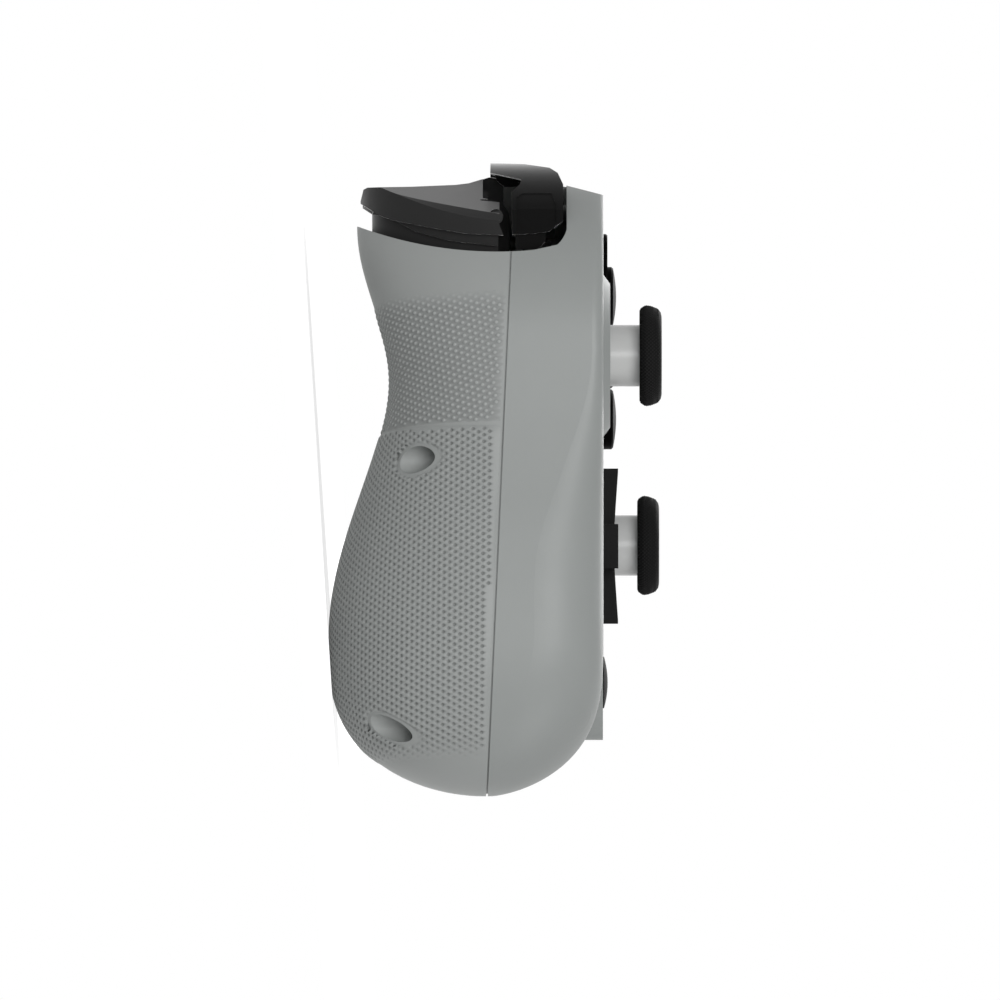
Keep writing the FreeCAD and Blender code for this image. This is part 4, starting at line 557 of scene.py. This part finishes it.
# %% Measure the rear shell
GRIP_MIDDLE = 58.0
GRIP_WRAP = 128.0
RAY_START = 45.0
RAY_COUNT = 128
SEAM_DEPTH = 17.6
SEAM_SLOPE = 0.044
FRONT_BORDER = 0.5
SKIN_LOW = -50.0
SKIN_HIGH = 33.0
SKIN_STEP = 1.0
SCREW_X = 68.4
SCREW_HEIGHTS = (3.4, -43.0)
RECESS_RADIUS = 2.4
RECESS_GUARD = 0.1
ROW_SLACK = 0.001


def shell_tree():
    shell = bmesh.new()
    shell.from_mesh(nodes["rear_shell"].data)
    shell.transform(to_face)
    tree = BVHTree.FromBMesh(shell)
    shell.free()
    return tree


def from_recess(x, y):
    """How far a point lies from the rim of the nearest screw recess."""
    return min(math.hypot(abs(x) - SCREW_X, y - height) for height in SCREW_HEIGHTS) - RECESS_RADIUS


def skin_line(tree, side, y):
    """Points on the skin at one height, each with its length from the parting line."""
    middle = Vector((side * GRIP_MIDDLE, y, -SEAM_DEPTH + SEAM_SLOPE * y - FRONT_BORDER))
    line = []
    for step in range(RAY_COUNT + 1):
        angle = math.radians(GRIP_WRAP) * step / RAY_COUNT
        way = Vector((side * math.cos(angle), 0, -math.sin(angle)))
        hit = tree.ray_cast(middle + way * RAY_START, -way)[0]
        if hit is not None and from_recess(hit.x, hit.y) > RECESS_GUARD:
            length = line[-1][0] + (hit - line[-1][1]).length if line else 0.0
            line.append((length, hit))
    return line


def skin_map(side):
    tree = shell_tree()
    count = round((SKIN_HIGH - SKIN_LOW) / SKIN_STEP)
    return [skin_line(tree, side, SKIN_LOW + SKIN_STEP * row) for row in range(count + 1)]


skin_lines = {}
for side in (-1, 1):
    skin_lines[side] = skin_map(side)
    print("side", side, "girth", [round(line[-1][0], 1) for line in skin_lines[side][::20]])

# %% Find a point on the skin
def along(line, length):
    """The point at a length along one line, or past its end in the same direction."""
    low, high = 0, len(line) - 1
    while high - low > 1:
        middle = (low + high) // 2
        if line[middle][0] > length:
            high = middle
        else:
            low = middle
    share = (length - line[low][0]) / (line[high][0] - line[low][0])
    return line[low][1].lerp(line[high][1], share)


def on_skin(side, length, y):
    """The place on the shell and the distance that is left to the end of the skin there."""
    lines = skin_lines[side]
    row = min(max((y - SKIN_LOW) / SKIN_STEP, 0), len(lines) - 1 - ROW_SLACK)
    low = int(row)
    share = row - low
    first, second = lines[low], lines[low + 1]
    point = along(first, length).lerp(along(second, length), share)
    left = first[-1][0] * (1 - share) + second[-1][0] * share - length
    return point, left


print("a point on the left skin:", tuple(round(value, 1) for value in on_skin(-1, 20.0, 0.0)[0]))

# %% [markdown]
# ## Lay the skin onto the grips
#
# Every vertex of the flat sheet has a length round the grip, a height and a lift. The first two
# give the place on the shell, and the lift goes along the shell's own normal. Towards the borders
# the lift fades out, as it does on the real moulding, and round the screw recesses the skin is
# left away. The rows also drop a little towards the back of the grip.

# %% Fade the skin at its borders
FRONT_FADE = 0.35
REAR_FADE = 1.3
RECESS_MARGIN = 0.3
RECESS_FADE = 0.8
LENGTH_STEP = 0.4
HEIGHT_STEP = 0.8


def smooth_share(value):
    value = min(max(value, 0.0), 1.0)
    return value * value * (3 - 2 * value)


def border_share(point, length, left, from_ends, end_fade):
    """1 on the open skin, 0 at its borders and round a screw recess."""
    share = smooth_share(length / FRONT_FADE) * smooth_share(left / REAR_FADE)
    share *= smooth_share((from_recess(point.x, point.y) - RECESS_MARGIN) / RECESS_FADE)
    bottom_share, top_share = (
        smooth_share(2 * distance / fade) for distance, fade in zip(from_ends, end_fade)
    )
    return share * (top_share * bottom_share)


def skin_normal(side, length, y):
    near = on_skin(side, length + LENGTH_STEP, y)[0] - on_skin(side, length - LENGTH_STEP, y)[0]
    above = on_skin(side, length, y + HEIGHT_STEP)[0] - on_skin(side, length, y - HEIGHT_STEP)[0]
    return -side * above.cross(near).normalized()


print("outwards on the left skin:", tuple(round(value, 2) for value in skin_normal(-1, 20.0, 0.0)))

# %% Lay a sheet onto a grip
CELL = (1.94, 1.14)
SKIN_BASE = 0.06
SKIN_SINK = -0.03
ROW_DROP_LENGTH = 30.0
REAR_TRIM = 0.2
RECESS_TRIM = 0.25
# Strength of the painted shade at the bottom of a dimple; a dotted skin goes from -1 at the foot of a dot
# to 1 on its top.
HOLLOW_PAINTED_SHADE = 1.4
DOTTED = dict(
    bottom=9.9, top=33.5, drops=(2.4, 2.4), turn=-10.6,
    radius=0.38, wall=0.14, relief=0.17, tip=0.05, end_fade=(0.5, 4.0),
)
DIMPLED = dict(
    bottom=-49.0, top=9.5, drops=(2.4, 1.7), turn=-2.0,
    radius=0.38, wall=0.12, relief=-0.26, tip=-0.06, end_fade=(5.0, 0.5),
)


def lay_skin(name, side, bottom, top, drops, turn, radius, wall, relief, tip, end_fade):
    """Drops and end_fade each hold the value at the bottom and the value at the top. A skin with
    dimples is raised by their depth, so that a dimple doesn't cut into the shell."""
    girth = max(line[-1][0] for line in skin_lines[side])
    sheet = flat_lattice(girth, top - bottom, *CELL, turn)
    cells = whole_cells(sheet, *CELL)
    round_off(sheet, cells, radius)
    lift_cells(sheet, cells, wall, relief, tip)
    share_layer = sheet.verts.layers.float.new("height_share")
    net = max(-relief - tip, 0.0)
    trimmed = {}
    for vertex in sheet.verts:
        length, rise, lift = vertex.co
        way_up = rise / (top - bottom)
        row_drop = drops[0] * (1 - way_up) + drops[1] * way_up
        y = bottom + rise - row_drop * (length / ROW_DROP_LENGTH) ** 2
        point, left = on_skin(side, length, y)
        from_ends = (rise, top - bottom - rise)
        border = border_share(point, length, left, from_ends, end_fade)
        fade = smooth_share(from_ends[1] / end_fade[1]) * smooth_share(from_ends[0] / end_fade[0])
        fade *= border
        height = SKIN_SINK + (SKIN_BASE - SKIN_SINK) * border + (net + lift) * fade
        vertex.co = point + skin_normal(side, length, y) * height
        share = lift / (relief + tip)
        # height_share drives the painted shade in hollows and the painted highlight on tops of the skin.
        vertex[share_layer] = fade * (2 * share - 1 if relief > 0 else -HOLLOW_PAINTED_SHADE * share)
        trimmed[vertex] = left < REAR_TRIM or from_recess(point.x, point.y) < RECESS_TRIM
    gone = [face for face in sheet.faces if any(trimmed[vertex] for vertex in face.verts)]
    bmesh.ops.delete(sheet, geom=gone, context="FACES")
    if side > 0:
        bmesh.ops.reverse_faces(sheet, faces=sheet.faces)
    sheet.transform(on_face)
    mesh = bpy.data.meshes.new(name)
    sheet.to_mesh(mesh)
    sheet.free()
    piece = bpy.data.objects.new(name, mesh)
    bpy.context.scene.collection.objects.link(piece)
    mesh.materials.append(materials["grip_skin"])
    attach(piece, "root")
    print(name, len(mesh.polygons), "faces")


for side, word in ((-1, "left"), (1, "right")):
    lay_skin(word + "_dotted_skin", side, **DOTTED)
    lay_skin(word + "_dimpled_skin", side, **DIMPLED)

# %% [markdown]
# ## Knurled stick caps
#
# The rubber caps are knurled all round, so that a thumb doesn't slip. A spin could make the sleeve
# but not its diamonds, so the same sheet is used, this time rolled up: its width is the way round
# the cap, and its height follows the cap's side from the chamfer below to the rounding above. The
# profile is listed as radius and height on the face.

# %% Follow the side of a cap
CAP_SIDE = [(8.0, 6.42), (8.63, 7.35), (8.5, 8.25), (8.05, 9.4), (7.2, 10.0)]
lengths = [0.0]
for first, second in zip(CAP_SIDE, CAP_SIDE[1:]):
    lengths.append(lengths[-1] + math.dist(first, second))


def cap_point(length):
    """Radius, height and outward direction at a length along the side of a cap."""
    length = min(max(length, 0.0), lengths[-1])
    index = max(i for i in range(len(lengths) - 1) if lengths[i] <= length)
    share = (length - lengths[index]) / (lengths[index + 1] - lengths[index])
    start, end = Vector(CAP_SIDE[index]), Vector(CAP_SIDE[index + 1])
    way = (end - start).normalized()
    return start.lerp(end, share), Vector((way.y, -way.x))


print("the side of a cap is", round(lengths[-1], 2), "mm long")

# %% Roll a knurled sleeve round each cap
KNURLS_ROUND = 84
KNURL_HEIGHT = 0.66
KNURL_WALL = 0.07
KNURL_RELIEF = 0.16
SLEEVE_LIFT = 0.015
WELD = 0.01


def knurl_cap(name, centre, body):
    girth = 2 * math.pi * CAP_SIDE[1][0]
    sheet = flat_lattice(girth, lengths[-1], girth / KNURLS_ROUND, KNURL_HEIGHT, closes=True)
    diamonds = whole_cells(sheet, girth / KNURLS_ROUND, KNURL_HEIGHT)
    lift_cells(sheet, diamonds, KNURL_WALL, KNURL_RELIEF / 2, KNURL_RELIEF / 2)
    share_layer = sheet.verts.layers.float.new("height_share")
    for vertex in sheet.verts:
        turn, length, lift = vertex.co
        # height_share drives the painted shade in the valleys and the painted highlight on the diamond tops
        # of the knurl.
        vertex[share_layer] = 2 * lift / KNURL_RELIEF - 1
        angle = turn / girth * 2 * math.pi
        place, out = cap_point(length)
        place = place + out * (SLEEVE_LIFT + lift)
        vertex.co = (
            centre.x + place.x * math.cos(angle),
            centre.y + place.x * math.sin(angle),
            place.y,
        )
    bmesh.ops.remove_doubles(sheet, verts=sheet.verts, dist=WELD)
    bmesh.ops.recalc_face_normals(sheet, faces=sheet.faces)
    sheet.transform(on_face)
    mesh = bpy.data.meshes.new(name)
    sheet.to_mesh(mesh)
    sheet.free()
    piece = bpy.data.objects.new(name, mesh)
    bpy.context.scene.collection.objects.link(piece)
    mesh.materials.append(materials["cap_knurl"])
    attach(piece, body)
    print(name, len(mesh.polygons), "faces")


for side, centre in (("left", LEFT_STICK), ("right", RIGHT_STICK)):
    knurl_cap(side + "_cap_knurl", centre, side + "_stick_stem")
